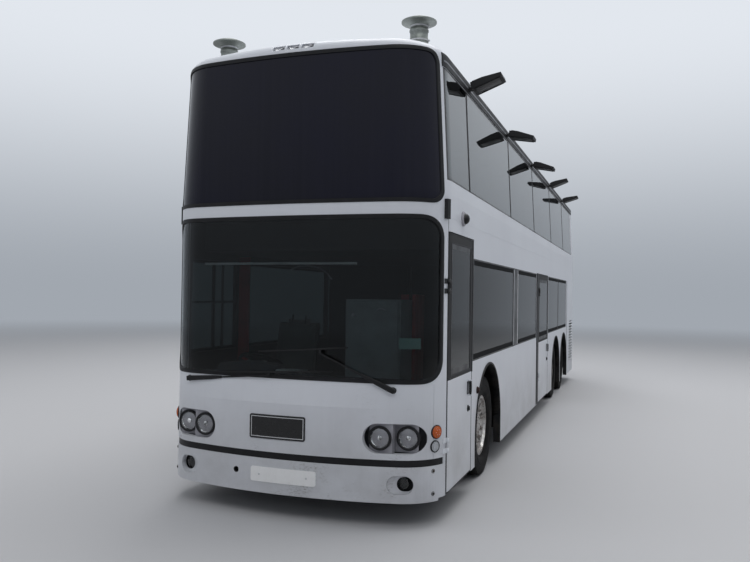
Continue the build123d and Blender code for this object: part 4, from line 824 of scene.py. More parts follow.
def layer(bm, point_of, us, vs, inner, outer):
    """Closed layer over a grid of places on a skin, between two distances from it."""
    grid = {(k, i, j): bm.verts.new(point_of(u, v, out)) for k, out in enumerate((inner, outer))
            for i, u in enumerate(us) for j, v in enumerate(vs)}
    n, m = len(us) - 1, len(vs) - 1
    for i in range(n):
        for j in range(m):
            for k in (0, 1):
                bm.faces.new([grid[k, i + a, j + b] for a, b in ((0, 0), (1, 0), (1, 1), (0, 1))])
        for j in (0, m):
            bm.faces.new([grid[0, i, j], grid[0, i + 1, j], grid[1, i + 1, j], grid[1, i, j]])
    for j in range(m):
        for i in (0, n):
            bm.faces.new([grid[0, i, j], grid[0, i, j + 1], grid[1, i, j + 1], grid[1, i, j]])


def steps(first, last, count):
    return [first + (last - first) * i / count for i in range(count + 1)]


def side_strip(bm, side, stations, levels, inner, outer):
    """Layer on a side of the body, bent where it passes the front corner or the shoulder."""
    first, last = stations
    marks = [first, last] if first >= CORNER_SET else steps(first, min(last, CORNER_SET), 6)
    if last > CORNER_SET > first:
        marks.append(last)
    heights = sorted({*levels, *([SHOULDER_Z] if levels[0] < SHOULDER_Z < levels[1] else [])})
    layer(bm, lambda s, z, out: on_skin(side, s, z, out), marks, heights, inner, outer)


def side_frame(bm, side, stations, levels, wide, inner, outer):
    """Four strips round an opening or a pane, lying inside its edges."""
    (first, last), (low, high) = stations, levels
    wide_s, wide_z = wide
    side_strip(bm, side, stations, (low, low + wide_z), inner, outer)
    side_strip(bm, side, stations, (high - wide_z, high), inner, outer)
    for a, b in ((first, first + wide_s), (last - wide_s, last)):
        side_strip(bm, side, (a, b), (low + wide_z + 2e-4, high - wide_z - 2e-4), inner, outer)


def bar(bm, stations, facing=(0, -1, 0)):
    """Bar with rounded edges through points; each station gives a point, the width and the thickness."""
    facing = Vector(facing)
    points = [Vector(point) for point, _, _ in stations]
    rings = []
    for i, (_, wide, thick) in enumerate(stations):
        along = (points[min(i + 1, len(points) - 1)] - points[max(i - 1, 0)]).normalized()
        side = along.cross(facing).normalized()
        out = side.cross(along)
        w, t = wide / 2, thick / 2
        r = 0.35 * min(w, t)
        outline = [(-w, r - t), (r - w, -t), (w - r, -t), (w, r - t), (w, t - r), (w - r, t), (r - w, t),
                   (-w, t - r)]
        rings.append([bm.verts.new(points[i] + side * a + out * b) for a, b in outline])
    skinned(bm, rings)


def rounded_outline(low, high, radius, corner_steps=5):
    """Corner points of a rectangle with rounded corners, going round once."""
    points = []
    for x, y, start in ((high[0] - radius, high[1] - radius, 0), (low[0] + radius, high[1] - radius, 1),
                        (low[0] + radius, low[1] + radius, 2), (high[0] - radius, low[1] + radius, 3)):
        for i in range(corner_steps + 1):
            turn = (start + i / corner_steps) * pi / 2
            points.append((x + radius * cos(turn), y + radius * sin(turn)))
    return points


def mirrored(bm):
    """Adds the offside copy of what stands on the nearside."""
    made = bmesh.ops.duplicate(bm, geom=bm.verts[:] + bm.edges[:] + bm.faces[:])["geom"]
    copies = [v for v in made if isinstance(v, bmesh.types.BMVert)]
    for vert in copies:
        vert.co.x = -vert.co.x
    bmesh.ops.reverse_faces(bm, faces=[f for f in made if isinstance(f, bmesh.types.BMFace)])


class Pieces:
    """The meshes of an operator's pieces while they are made: each has its piece's name, and a finish."""

    def __init__(self, prefix="", **finishes):
        self.prefix, self.finishes = prefix, finishes
        for name in finishes:
            setattr(self, name, bmesh.new())

    def mirror(self):
        for name in self.finishes:
            mirrored(getattr(self, name))

    def put(self, body="coach", doubles=0.0, **stands):
        """Makes the finished pieces; a piece named here stands for a CAD node."""
        for name, finish in self.finishes.items():
            mesh = mesh_from(getattr(self, name), self.prefix + name, doubles)
            finish_piece(self.prefix + name, mesh, finish, body, 35.0,
                         (stands[name],) if name in stands else ())


def corner_base(bm, side, angle, z, radius):
    """Round base of a lamp on the body's front corner; gives the lamp's place."""
    out = Vector((side * cos(radians(angle)), -sin(radians(angle)), 0))
    place = axis_place(Vector(at(side * CORNER_X, CORNER_SET, z)) + out * CORNER_R, out)
    turned(bm,
           [(-0.045, 0.0), (-0.045, radius - 0.002), (0.004, radius - 0.002), (0.007, radius - 0.006),
            (0.007, radius - 0.01), (-0.02, radius - 0.012), (-0.02, 0.0)], place, 40)
    return place


def indicator(parts, side):
    """Amber dome over a ring of six bulbs and one in the middle."""
    place = corner_base(parts.corner_lamp_bases, side, *INDICATOR)
    edge = INDICATOR[2] - 0.009
    turned(parts.indicator_lenses,
           [(-0.01, 0.0), (-0.006, edge), (0.008, edge), (0.0125, edge - 0.003), (0.014, edge - 0.012),
            (0.018, edge - 0.014), (0.021, edge - 0.024), (0.0235, 0.018), (0.0245, 0.0)], place, 40)
    for i in range(7):
        turn, reach = 2 * pi * i / 6, 0.021 if i < 6 else 0.0
        spot = place @ Matrix.Translation((reach * cos(turn), reach * sin(turn), 0.0215))
        turned(parts.indicator_bulbs, [(-0.001, 0.0), (-0.001, 0.003), (0.0012, 0.0026), (0.0018, 0.0)], spot,
               8)


def side_lamp(parts, side):
    """Low clear lens over a small bowl."""
    place = corner_base(parts.corner_lamp_bases, side, *SIDE_LAMP)
    edge = SIDE_LAMP[2] - 0.009
    turned(parts.side_lamp_lenses,
           [(0.001, 0.0), (0.001, edge - 0.003), (0.001, edge), (0.006, edge), (0.01, edge - 0.008),
            (0.0135, edge - 0.022), (0.015, 0.0)], place, 40)
    turned(parts.side_lamp_bowls, [(-0.018, 0.0), (-0.017, 0.012), (-0.011, 0.027), (-0.001, edge - 0.002)],
           place, 40)


def dome_lamp(parts, side):
    """Dark dome on a pale round base, high on the side behind the corner."""
    station, z = DOME_LAMP
    place = axis_place(at(side * HALF, station, z), (side, 0, 0))
    turned(parts.dome_lamp_bases,
           [(0.0, 0.0), (0.0, 0.065), (0.01, 0.0645), (0.018, 0.058), (0.02, 0.05), (0.02, 0.0)], place, 48)
    bow = [(0.022 + 0.038 * sin(a), 0.047 * cos(a)) for a in (0.0, 0.35, 0.7, 1.0, 1.3)]
    turned(parts.dome_lamp_domes, [(0.018, 0.0), (0.018, 0.048), *bow, (0.06, 0.0)], place, 40)


def fog_lamp(parts, side):
    """Painted funnel from the oval hole in the bumper to a round lamp, with the lamp's bowl and glass."""
    fog_x, fog_z, wide, high = FOG_LAMP
    wide, high = wide / 2 - 0.002, high / 2 - 0.002
    funnel, loops = parts.fog_funnels, []
    for shift, depth, half_w, half_h in ((0.0, 0.004, wide, high), (0.0, 0.012, wide - 0.004, high - 0.003),
                                         (0.026, 0.045, 0.068, 0.06), (0.028, 0.05, 0.064, 0.057),
                                         (0.028, 0.056, 0.066, 0.059), (0.0, 0.022, wide, high)):
        loop = []
        for i in range(40):
            turn = 2 * pi * i / 40
            flat = copysign(max(0.0, half_w - half_h), cos(turn)) * min(1.0, abs(cos(turn)) * 6)
            x, z = fog_x + shift + flat + half_h * cos(turn), fog_z + half_h * sin(turn)
            loop.append(funnel.verts.new((side * x, on_nose(x, z, 0.0).y + depth, z)))
        loops.append(loop)
    skinned(funnel, loops, closed=True)
    back = on_nose(fog_x, fog_z, 0.0).y + 0.075
    place = axis_place((side * (fog_x + 0.012), back, fog_z), (0, -1, 0))
    turned(parts.fog_bowls, [(-0.022, 0.0), (-0.02, 0.02), (-0.01, 0.036), (0.0, 0.044)], place, 32)
    turned(parts.fog_glasses, [(0.0005, 0.0), (0.0005, 0.044), (0.004, 0.044), (0.007, 0.028), (0.008, 0.0)],
           place, 32)


def marker_lamp(parts, x):
    """Clear lens on its board in a slot of the roof dome."""
    wide, high, deep = DOME_SLOT
    wide, high, tilt = wide / 2 - 0.009, high / 2 - 0.009, radians(DOME_SLOT_ANGLE)
    spot = (x, NOSE_Y + BROW_SET + ROOF_R * (1 - cos(tilt)), HEIGHT - ROOF_R * (1 - sin(tilt)))
    place = Matrix.Translation(spot) @ Matrix.Rotation(-tilt, 4, "X")
    cuboid(parts.marker_boards, (-wide, deep - 0.008, -high), (wide, deep, high), 0.001, place)
    cuboid(parts.marker_lenses, (-wide + 0.002, deep - 0.014, -high + 0.001),
           (wide - 0.002, deep - 0.0085, high - 0.001), 0.002, place)


class COACH_OT_front_lamps(bpy.types.Operator):
    """Makes the corner, fog and dome lamps and the marker lamps over the upper screen"""
    bl_idname = "coach.front_lamps"
    bl_label = "Front lamps"

    def execute(self, context):
        parts = Pieces(corner_lamp_bases="plastic", indicator_lenses="amber", side_lamp_lenses="clear_lens",
                       side_lamp_bowls="reflector", indicator_bulbs="silver", dome_lamp_bases="lamp_board",
                       dome_lamp_domes="gloss_black", marker_lenses="clear_lens", marker_boards="lamp_board",
                       fog_funnels="front_paint", fog_bowls="reflector", fog_glasses="clear_lens")
        for side in SIDES:
            for lamp in (indicator, side_lamp, dome_lamp, fog_lamp):
                lamp(parts, side)
        for x in DOME_SLOTS:
            marker_lamp(parts, x)
        parts.put(corner_lamp_bases="small_lamps")
        return {"FINISHED"}


class COACH_OT_rear_lamps(bpy.types.Operator):
    """Makes the round rear lamps, the reflectors and the plate lamp"""
    bl_idname = "coach.rear_lamps"
    bl_label = "Rear lamps"

    def execute(self, context):
        parts = Pieces(rear_lamp_bezels="plastic", rear_stop_lenses="red_lens", rear_turn_lenses="amber",
                       rear_white_lenses="clear_lens", rear_lamp_bowls="reflector", plate_lamp="plastic")
        lenses = {0.7: "rear_white_lenses", 0.83: "rear_stop_lenses", 0.96: "rear_turn_lenses"}
        spots = [(side * 1.0, z, 0.055, name) for side in SIDES for z, name in lenses.items()]
        spots += [(side * 1.07, z, 0.026, name) for side in SIDES
                  for z, name in ((3.64, "rear_stop_lenses"), (0.43, "rear_stop_lenses"))]
        for x, z, radius, name in spots:
            place = axis_place((x, TAIL_Y, z), (0, 1, 0))
            turned(parts.rear_lamp_bezels,
                   [(0.0, 0.0), (0.0, radius), (0.008, radius), (0.011, radius - 0.004),
                    (0.0105, radius - 0.008), (0.002, radius - 0.01), (0.002, 0.0)], place, 40)
            turned(parts.rear_lamp_bowls, [(0.0025, 0.0), (0.003, 0.5 * radius), (0.005, radius - 0.011)],
                   place, 32)
            lens_r = radius - 0.009
            turned(getattr(parts, name),
                   [(0.0055, 0.0), (0.0055, lens_r - 0.002), (0.009, lens_r), (0.0105, lens_r - 0.005),
                    (0.0115, lens_r - 0.013), (0.0117, 0.0)], place, 40)
        cuboid(parts.plate_lamp, (-0.09, TAIL_Y + 0.0005, 0.424), (0.09, TAIL_Y + 0.018, 0.452), 0.004)
        parts.put()
        return {"FINISHED"}


class COACH_OT_window_trim(bpy.types.Operator):
    """Makes the borders and sealant of the bonded panes, the rubber strips and the beads beside a pillar"""
    bl_idname = "coach.window_trim"
    bl_label = "Window trim"

    def execute(self, context):
        parts = Pieces(pane_borders="gloss_black", pane_sealant="gasket", window_beads="silver",
                       body_strips="gasket", rail_stripes="strip", rear_pane_gasket="gasket")
        borders, sealant, strips = parts.pane_borders, parts.pane_sealant, parts.body_strips
        low_band, high_band = (1.22, 2.17), (2.76, 3.68)
        for side in SIDES:
            lower = NEAR_LOWER_JOINTS if side > 0 else OFF_LOWER_JOINTS
            rows = [(joints, low_band, 0.036) for joints in lower] + [(UPPER_JOINTS, high_band, 0.026)]
            for joints, band, edge in rows:
                for a, b in zip(joints, joints[1:]):
                    pane = (a + 0.0062, b - 0.0062)
                    side_frame(borders, side, pane, band, (edge, 0.014), -0.0032, -0.0017)
                for joint in joints[1:-1]:
                    side_strip(sealant, side, (joint - 0.0056, joint + 0.0056), band, -0.0095, -0.0002)
                    side_strip(sealant, side, (joint - 0.01, joint + 0.01), band, 0.0, 0.0012)
            side_strip(parts.rail_stripes, side, (0.42, 11.8), (3.724, 3.738), 0.007, 0.0098)
        side_strip(borders, 1, (3.7, 3.965), (1.234, 2.156), -0.0034, -0.0015)
        for station in (3.676, 3.968):
            side_strip(parts.window_beads, 1, (station, station + 0.03), (1.236, 2.154), -0.003, 0.0014)
        side_strip(strips, 1, (5.78, 5.99), (0.232, 2.178), 0.0002, 0.006)
        side_strip(strips, 1, (5.784, 5.8), (0.236, 2.174), 0.0058, 0.009)
        side_strip(strips, 1, (1.3315, 1.3455), (1.13, 2.345), 0.0002, 0.003)
        side_strip(strips, 1, (10.478, 10.502), (0.56, 2.17), 0.0002, 0.003)
        half, low, high = REAR_PANE
        outline = rounded_outline((-half, low), (half, high), 0.01)
        pipe(parts.rear_pane_gasket, [(x, TAIL_Y - 0.0005, z) for x, z in outline], 0.0075, 8, closed=True)
        parts.put()
        return {"FINISHED"}


class COACH_OT_door_trim(bpy.types.Operator):
    """Makes the doors' rubber edges, grips, locks and grab bars, which move with each door"""
    bl_idname = "coach.door_trim"
    bl_label = "Door trim"

    def execute(self, context):
        for name, (first, last, top, sight_low, sight_high) in DOORS.items():
            parts = Pieces(name + "_", edges="gasket", locks="plastic", grips="gloss_black", grab_bar="strip",
                           borders="gloss_black")
            edges, locks, grips = parts.edges, parts.locks, parts.grips
            side_frame(edges, 1, (first + 0.0095, last - 0.0095), (0.23, top - 0.0095), (0.008, 0.008),
                       0.0001, 0.0022)
            pane = (first + 0.0845, last - 0.0845)
            side_frame(edges, 1, pane, (sight_low, sight_high), (0.01, 0.01), -0.002, 0.0018)
            inside = (pane[0] + 0.0105, pane[1] - 0.0105)
            side_frame(parts.borders, 1, inside, (sight_low + 0.0105, sight_high - 0.0105), (0.03, 0.045),
                       -0.0032, -0.0017)
            station = last - 0.15
            for a, b in ((station - 0.04, station - 0.0305), (station + 0.0305, station + 0.04)):
                side_strip(locks, 1, (a, b), (0.95, 1.05), 0.0002, 0.004)
            for a, b in ((0.944, 0.9545), (1.0455, 1.056)):
                side_strip(locks, 1, (station - 0.04, station + 0.04), (a, b), 0.0003, 0.0042)
            bar(grips,
                [(at(1.273, station, 0.94), 0.02, 0.018), (at(1.275, station, 0.97), 0.022, 0.02),
                 (at(1.275, station, 1.03), 0.022, 0.02), (at(1.273, station, 1.06), 0.02, 0.018)], (1, 0, 0))
            place = axis_place(at(HALF, station, 0.815), (1, 0, 0))
            turned(locks,
                   [(0.0002, 0.0), (0.0002, 0.03), (0.004, 0.03), (0.007, 0.026), (0.007, 0.012),
                    (0.011, 0.011), (0.011, 0.0)], place, 32)
            cuboid(grips, at(HALF + 0.008, station - 0.004, 0.797), at(HALF + 0.02, station + 0.004, 0.833),
                   0.0015)
            z = sight_low + 0.17
            inward = [(pane[0] + 0.02, 0.046), (pane[0] + 0.02, 0.085), (pane[0] + 0.05, 0.105),
                      (pane[1] - 0.05, 0.105), (pane[1] - 0.02, 0.085), (pane[1] - 0.02, 0.046)]
            pipe(parts.grab_bar, [on_skin(1, s, z, -depth) for s, depth in inward], 0.014, 12)
            parts.put(name)
        return {"FINISHED"}


class COACH_OT_plates(bpy.types.Operator):
    """Makes the screws of the blank number plate"""
    bl_idname = "coach.plates"
    bl_label = "Plate screws"

    def execute(self, context):
        parts = Pieces(plate_screws="silver")
        for x in (-0.21, 0.21):
            place = axis_place(on_nose(x, 0.35, 0.0048), (0, -1, 0))
            turned(parts.plate_screws,
                   [(0.0, 0.0), (0.0, 0.009), (0.002, 0.0085), (0.003, 0.005), (0.0032, 0.0)], place, 20)
        parts.put()
        return {"FINISHED"}


class COACH_OT_front_fittings(bpy.types.Operator):
    """Makes the bumper bolts, the wheel arch stop and the seams of the front"""
    bl_idname = "coach.front_fittings"
    bl_label = "Front fittings"

    def execute(self, context):
        parts = Pieces(bumper_bolts="cast", waist_covers="side_paint", arch_stops="rusty_rubber",
                       front_seams="gasket", tow_eye_shade_sleeve="chassis")
        for side in SIDES:
            for station, z in ((0.285, 0.44), (0.285, 0.262)):
                foot = on_skin(side, station, z, 0.0)
                middle = Vector(at(side * CORNER_X, CORNER_SET, z))
                place = axis_place(foot, foot - middle)
                turned(parts.bumper_bolts, [(-0.004, 0.0), (-0.004, 0.017), (0.0015, 0.017), (0.002, 0.013)],
                       place, 24)
                turned(parts.bumper_bolts,
                       [(0.0015, 0.0095), (0.008, 0.0095), (0.0095, 0.007), (0.0095, 0.0)], place, 6)
            place = axis_place(at(side * HALF, 1.574, 0.932), (side, 0, 0))
            turned(parts.arch_stops,
                   [(0.0002, 0.0), (0.0002, 0.034), (0.006, 0.033), (0.02, 0.024), (0.026, 0.018),
                    (0.027, 0.0)], place, 32)
            side_strip(parts.front_seams, side, (0.4305, 0.4365), (0.226, 2.452), -0.01, 0.0006)
            side_strip(parts.waist_covers, side, (0.437, 11.835), (2.456, 2.474), -0.0002, 0.0012)
        # A dark sleeve lines the towing hole: painted shade in the hole's depth
        mouth = on_nose(TOW_EYE[0], TOW_EYE[1], 0.0)
        turned(parts.tow_eye_shade_sleeve,
               [(0.0012, 0.0245), (0.0025, 0.0235), (0.0012, 0.0205), (-0.058, 0.0205), (-0.06, 0.0205),
                (-0.06, 0.0215), (-0.0005, 0.0215), (-0.0005, 0.0245)], axis_place(mouth, (0, -1, 0)), 32,
               closed=True)
        parts.put()
        return {"FINISHED"}


class COACH_OT_wipers(bpy.types.Operator):
    """Makes the two wipers: boss, tapered arm head, arm and the blade with its yokes"""
    bl_idname = "coach.wipers"
    bl_label = "Wipers"

    def execute(self, context):
        parts = Pieces(wiper_arms="powder", wiper_blades="gasket")
        arms, blades = parts.wiper_arms, parts.wiper_blades
        for pivot, tip, first, last in WIPERS:
            skin = on_nose(pivot[0], pivot[1], 0.0)
            front = on_nose(pivot[0], 0.5, 0.0).y - 0.02
            start = Vector((pivot[0], front, pivot[1]))
            end = on_nose(tip[0], tip[1], 0.026)
            place = axis_place(skin, (0, -1, 0))
            reach = skin.y - front
            turned(arms,
                   [(-0.01, 0.0), (-0.01, 0.026), (0.004, 0.026), (0.01, 0.02), (0.012, 0.013),
                    (reach - 0.012, 0.013), (reach - 0.01, 0.021), (reach + 0.005, 0.021),
                    (reach + 0.011, 0.014), (reach + 0.012, 0.0)], place, 24)
            along = end - start
            bar(arms,
                [(start - along * 0.02, 0.04, 0.02), (start + along * 0.04, 0.042, 0.022),
                 (start + along * 0.3, 0.034, 0.02), (start + along * 0.42, 0.022, 0.014)])
            bar(arms,
                [(start + along * 0.4, 0.014, 0.008), (start + along * 0.7, 0.013, 0.007),
                 (end, 0.012, 0.007)])
            share = (tip[0] - first[0]) / (last[0] - first[0])
            joint = on_nose(tip[0], first[1] + share * (last[1] - first[1]), 0.022)
            bar(arms,
                [(end + Vector((0, -0.002, 0.004)), 0.018, 0.012),
                 (joint - Vector((0, 0, 0.004)), 0.016, 0.012)], (0, -1, 0.1))
            run, rise = steps(first[0], last[0], 12), steps(first[1], last[1], 12)
            bar(blades, [(on_nose(x, z, 0.001), 0.008, 0.014) for x, z in zip(run, rise)])
            bar(blades, [(on_nose(x, z, 0.01), 0.014, 0.007) for x, z in zip(run, rise)])
            # Two yokes hold the blade, and one on top of them holds both
            for a, b, foot, bow, wide in ((1, 6, 0.012, 0.011, 0.013), (6, 11, 0.012, 0.011, 0.013),
                                          (3, 9, 0.02, 0.009, 0.014)):
                bar(arms, [(on_nose(run[i], rise[i], foot + bow * sin(pi * (i - a) / (b - a))), wide, 0.006)
                           for i in range(a, b + 1)])
        parts.put(wiper_arms="wipers")
        return {"FINISHED"}


class COACH_OT_floodlights(bpy.types.Operator):
    """Makes each floodlight's bezel, glass, cooling fins and bracket bolts"""
    bl_idname = "coach.floodlights"
    bl_label = "Floodlights"

    def execute(self, context):
        parts = Pieces(floodlight_bezels="powder", floodlight_glasses="gloss_black",
                       floodlight_bolts="silver")
        fins = []
        drop = EAVES_Z - 0.065
        edge = HALF - (drop - SHOULDER_Z) * LEAN + 0.008
        for station, tilt in FLOODLIGHTS:
            place = (Matrix.Translation(at(edge + 0.04, station, drop))
                     @ Matrix.Rotation(radians(-tilt), 4, "Y"))
            under = (place @ Matrix.Translation((0.145, 0, -0.025))
                     @ Matrix.Rotation(atan2(-0.016, 0.29), 4, "Y"))
            for low, high in (((-0.13, -0.108), (0.126, -0.094)), ((-0.13, 0.094), (0.126, 0.108)),
                              ((-0.13, -0.0935), (-0.116, 0.0935)), ((0.112, -0.0935), (0.126, 0.0935))):
                cuboid(parts.floodlight_bezels, (*low, -0.006), (*high, 0.0), 0.002, under)
            cuboid(parts.floodlight_glasses, (-0.115, -0.093, -0.003), (0.111, 0.093, 0.001), 0.0008, under)
            for y in (-0.042, 0.042):
                bolt = place @ Matrix.Translation((0.01, y, 0.03))
                turned(parts.floodlight_bolts,
                       [(-0.002, 0.0), (-0.002, 0.01), (0.006, 0.01), (0.0075, 0.008), (0.0075, 0.0)], bolt,
                       6)
            fin = bmesh.new()
            cuboid(fin, (0.02, -0.0015, 0.026), (0.105, 0.0015, 0.044), 0.0)
            row = repeated(mesh_from(fin, "fin", 0.0), ROW, "powder", 15, (0, -0.098, 0), (0, 0.014, 0))
            row.transform(place)
            fins.append(row)
        parts.mirror()
        parts.put()
        bm = bmesh.new()
        bm.from_mesh(joined(fins, "fins"))
        mirrored(bm)
        finish_piece("floodlight_fins", mesh_from(bm, "floodlight_fins", 0.0), "powder")
        return {"FINISHED"}


class COACH_OT_cab(bpy.types.Operator):
    """Makes the steering wheel, dash hood, cabinet door, pillars, a dark wall of painted shade and bars
    behind the windscreen
    """
    bl_idname = "coach.cab"
    bl_label = "Cab"

    def execute(self, context):
        parts = Pieces(steering_wheel_rim="gloss_black", dash_hood="dash", dash_dials="gloss_black",
                       dial_rings="silver", cabinet_door="cabinet", cabinet_handle="silver",
                       cab_pillars="red_tube", visor_bar="pale_tube", mirror_arm="strip",
                       screen_label="label", shade_wall="shade_wall", side_window_frame="plastic",
                       cab_papers="pale_tube")
        wheel = (Matrix.Translation(at(-0.62, 0.8, 1.14)) @ Matrix.Rotation(radians(-35), 4, "X"))
        rim = parts.steering_wheel_rim
        turned(rim, [(0.016 * sin(a), 0.225 + 0.014 * cos(a)) for a in (2 * pi * i / 10 for i in range(10))],
               wheel, 64, closed=True)
        for turn in (pi / 2, pi * 7 / 6, pi * 11 / 6):
            ahead = Vector((cos(turn), sin(turn), 0))
            bar(rim, [(wheel @ (ahead * r + Vector((0, 0, z))), w, 0.01)
                      for r, z, w in ((0.03, -0.03, 0.05), (0.11, -0.022, 0.034), (0.216, -0.002, 0.028))],
                wheel.to_3x3() @ Vector((0, 0, 1)))
        turned(rim,
               [(-0.33, 0.0), (-0.33, 0.034), (-0.05, 0.034), (-0.046, 0.062), (-0.018, 0.066),
                (-0.008, 0.058), (-0.004, 0.03), (-0.003, 0.0)], wheel, 32)
        bar(parts.dash_hood,
            [(at(-0.94, 0.6, 1.1), 0.15, 0.06), (at(-0.9, 0.6, 1.13), 0.17, 0.1),
             (at(-0.62, 0.595, 1.15), 0.18, 0.12), (at(-0.34, 0.6, 1.13), 0.17, 0.1),
             (at(-0.3, 0.6, 1.1), 0.15, 0.06)], (0, 0, 1))
        for x, radius in ((-0.8, 0.03), (-0.7, 0.055), (-0.54, 0.055), (-0.44, 0.03)):
            place = axis_place(at(x, 0.684, 1.146), (0, 1, 0.15))
            turned(parts.dash_dials, [(-0.004, 0.0), (-0.004, radius), (0.002, radius), (0.0025, 0.0)], place,
                   32)
            turned(parts.dial_rings,
                   [(0.0, radius), (0.0, radius + 0.004), (0.005, radius + 0.003), (0.005, radius - 0.001)],
                   place, 32, closed=True)
        cuboid(parts.cabinet_door, at(0.266, 0.684, 0.56), at(0.744, 0.6995, 1.764), 0.006)
        handle = parts.cabinet_handle
        pipe(handle,
             [at(0.56, 0.684, 1.69), at(0.56, 0.664, 1.694), at(0.59, 0.656, 1.702), at(0.63, 0.664, 1.694),
              at(0.63, 0.684, 1.69)], 0.006, 8)
        turned(handle, [(0.0, 0.0), (0.0, 0.018), (0.01, 0.016), (0.014, 0.008), (0.014, 0.0)],
               axis_place(at(0.33, 0.684, 1.64), (0, -1, 0)), 20)
        pillars = parts.cab_pillars
        cuboid(pillars, at(-1.196, 1.325, 0.52), at(-1.08, 1.352, 2.19), 0.008)
        cuboid(pillars, at(0.772, 1.0, 0.52), at(0.8, 1.29, 1.83), 0.008)
        cuboid(pillars, at(0.56, 1.304, 0.52), at(0.64, 1.33, 1.83), 0.008)
        bar_path = [(-1.1, 0.56), (-1.08, 0.52), (0.42, 0.4), (0.45, 0.43)]
        pipe(parts.visor_bar, [at(x, s, 2.085) for x, s in bar_path], 0.011, 10)
        arc = [(-0.2, 2.03), (-0.12, 2.062), (-0.02, 2.068), (0.08, 2.048), (0.15, 2.005), (0.195, 1.95)]
        pipe(parts.mirror_arm, [at(x, 0.5, z) for x, z in arc], 0.007, 8)
        layer(parts.screen_label, on_nose, steps(0.935, 1.095, 6), [1.4, 1.485], -0.0165, -0.0155)
        # A dark wall across the saloon, painted shade that darkens the view through the windscreen
        wall = parts.shade_wall
        cuboid(wall, at(-1.19, 3.69, 0.512), at(-0.06, 3.715, 2.2), 0.003)
        cuboid(wall, at(0.62, 3.69, 0.512), at(1.19, 3.715, 2.2), 0.003)
        cuboid(wall, at(-0.058, 3.694, 0.514), at(0.618, 3.711, 2.198), 0.003)
        frames = parts.side_window_frame
        for a, b in ((0.885, 0.925), (1.06, 1.082)):
            side_strip(frames, -1, (a, b), (1.262, 2.13), -0.026, -0.0105)
        for a, b in ((1.262, 1.292), (2.1, 2.13), (1.72, 1.74)):
            side_strip(frames, -1, (0.53, 1.294), (a, b), -0.025, -0.0106)
        cuboid(parts.cab_papers, at(-0.32, 0.47, 1.132), at(-0.06, 0.6, 1.15), 0.003)
        parts.put(steering_wheel_rim="steering_wheel")
        return {"FINISHED"}


def pad_outline(half_x, half_y, radius, pinch, count):
    """Outline of a pad seen from above: rounded corners, sides pulled in between them."""
    points = rounded_outline((-half_x, -half_y), (half_x, half_y), radius, count)
    made = []
    for x, y in points:
        pull_x = pinch * (1 - (y / half_y) ** 2)
        pull_y = pinch * (1 - (x / half_x) ** 2)
        made.append((x - copysign(pull_x, x) * (abs(x) / half_x),
                     y - copysign(pull_y, y) * (abs(y) / half_y)))
    return made


def pad_mesh(name, wide, deep, thick, crown, channels=0):
    """Crowned closed pad, its top swollen between sewn channels, its base flat; the base lies at z 0."""
    bm = bmesh.new()
    columns, rows = 20, 20
    grid = {}
    for i in range(columns + 1):
        for j in range(rows + 1):
            u, v = 2 * i / columns - 1, 2 * j / rows - 1
            pull_x, pull_y = 0.006 * (1 - v * v), 0.006 * (1 - u * u)
            x, y = u * (wide / 2 - pull_x), v * (deep / 2 - pull_y)
            edge = (1 - abs(u) ** 5) * (1 - abs(v) ** 5)
            rise = thick * (0.8 + 0.2 * edge ** 0.5) + crown * (1 - u * u) * (1 - v * v)
            if channels:
                rise -= 0.006 * max(0.0, cos(pi * channels * (u + 1))) ** 12 * edge
            grid[1, i, j] = bm.verts.new((x, y, rise))
            grid[0, i, j] = bm.verts.new((x * 0.985, y * 0.985, 0.0))
    for i in range(columns):
        for j in range(rows):
            for k in (0, 1):
                bm.faces.new([grid[k, i + a, j + b] for a, b in ((0, 0), (1, 0), (1, 1), (0, 1))])
    border = [(i, 0) for i in range(columns)] + [(columns, j) for j in range(rows)]
    border += [(i, rows) for i in range(columns, 0, -1)] + [(0, j) for j in range(rows, 0, -1)]
    for a, b in zip(border, border[1:] + border[:1]):
        bm.faces.new([grid[0, *a], grid[0, *b], grid[1, *b], grid[1, *a]])
    return mesh_from(bm, name, 0.0)


def swollen(mesh, name, voxel, cap):
    """Foam pad under stretched cloth: the pad is remeshed and swollen by a short cloth simulation with
    its base held, and no point moves further than the cap."""
    scene = bpy.context.scene
    source = placed(name + "_source", mesh)
    remesh = source.modifiers.new("Remesh", "REMESH")
    remesh.mode = "VOXEL"
    remesh.voxel_size = voxel
    start = bpy.data.meshes.new_from_object(source.evaluated_get(bpy.context.evaluated_depsgraph_get()))
    source.modifiers.clear()
    source.data = start
    held = source.vertex_groups.new(name="base")
    held.add([v.index for v in start.vertices if v.co.z < 0.25 * voxel], 1.0, "REPLACE")
    cloth = source.modifiers.new("Cloth", "CLOTH")
    cloth.settings.quality = 6
    cloth.settings.use_pressure = True
    cloth.settings.uniform_pressure_force = 4.0
    cloth.settings.vertex_group_mass = held.name
    cloth.settings.effector_weights.gravity = 0.0
    cloth.point_cache.frame_end = PAD_FRAMES
    for number in range(1, PAD_FRAMES + 1):
        scene.frame_set(number)
    made = bpy.data.meshes.new_from_object(source.evaluated_get(bpy.context.evaluated_depsgraph_get()))
    for before, after in zip(start.vertices, made.vertices):
        move = after.co - before.co
        if move.length > cap:
            after.co = before.co + move.normalized() * cap
    bpy.data.objects.remove(source)
    scene.frame_set(1)
    return made


def back_place(point):
    """Place of a seat back: its face looks forward and its top leans to the rear."""
    return Matrix.Translation(point) @ Matrix.Rotation(pi / 2 + BACK_LEAN, 4, "X")


def seam_line(outline, place, height, radius):
    """Piping sewn round a pad, at a height over its base."""
    bm = bmesh.new()
    pipe(bm, [place @ Vector((x, y, height)) for x, y in outline], radius, 6, closed=True)
    return mesh_from(bm, "piping", 0.0)


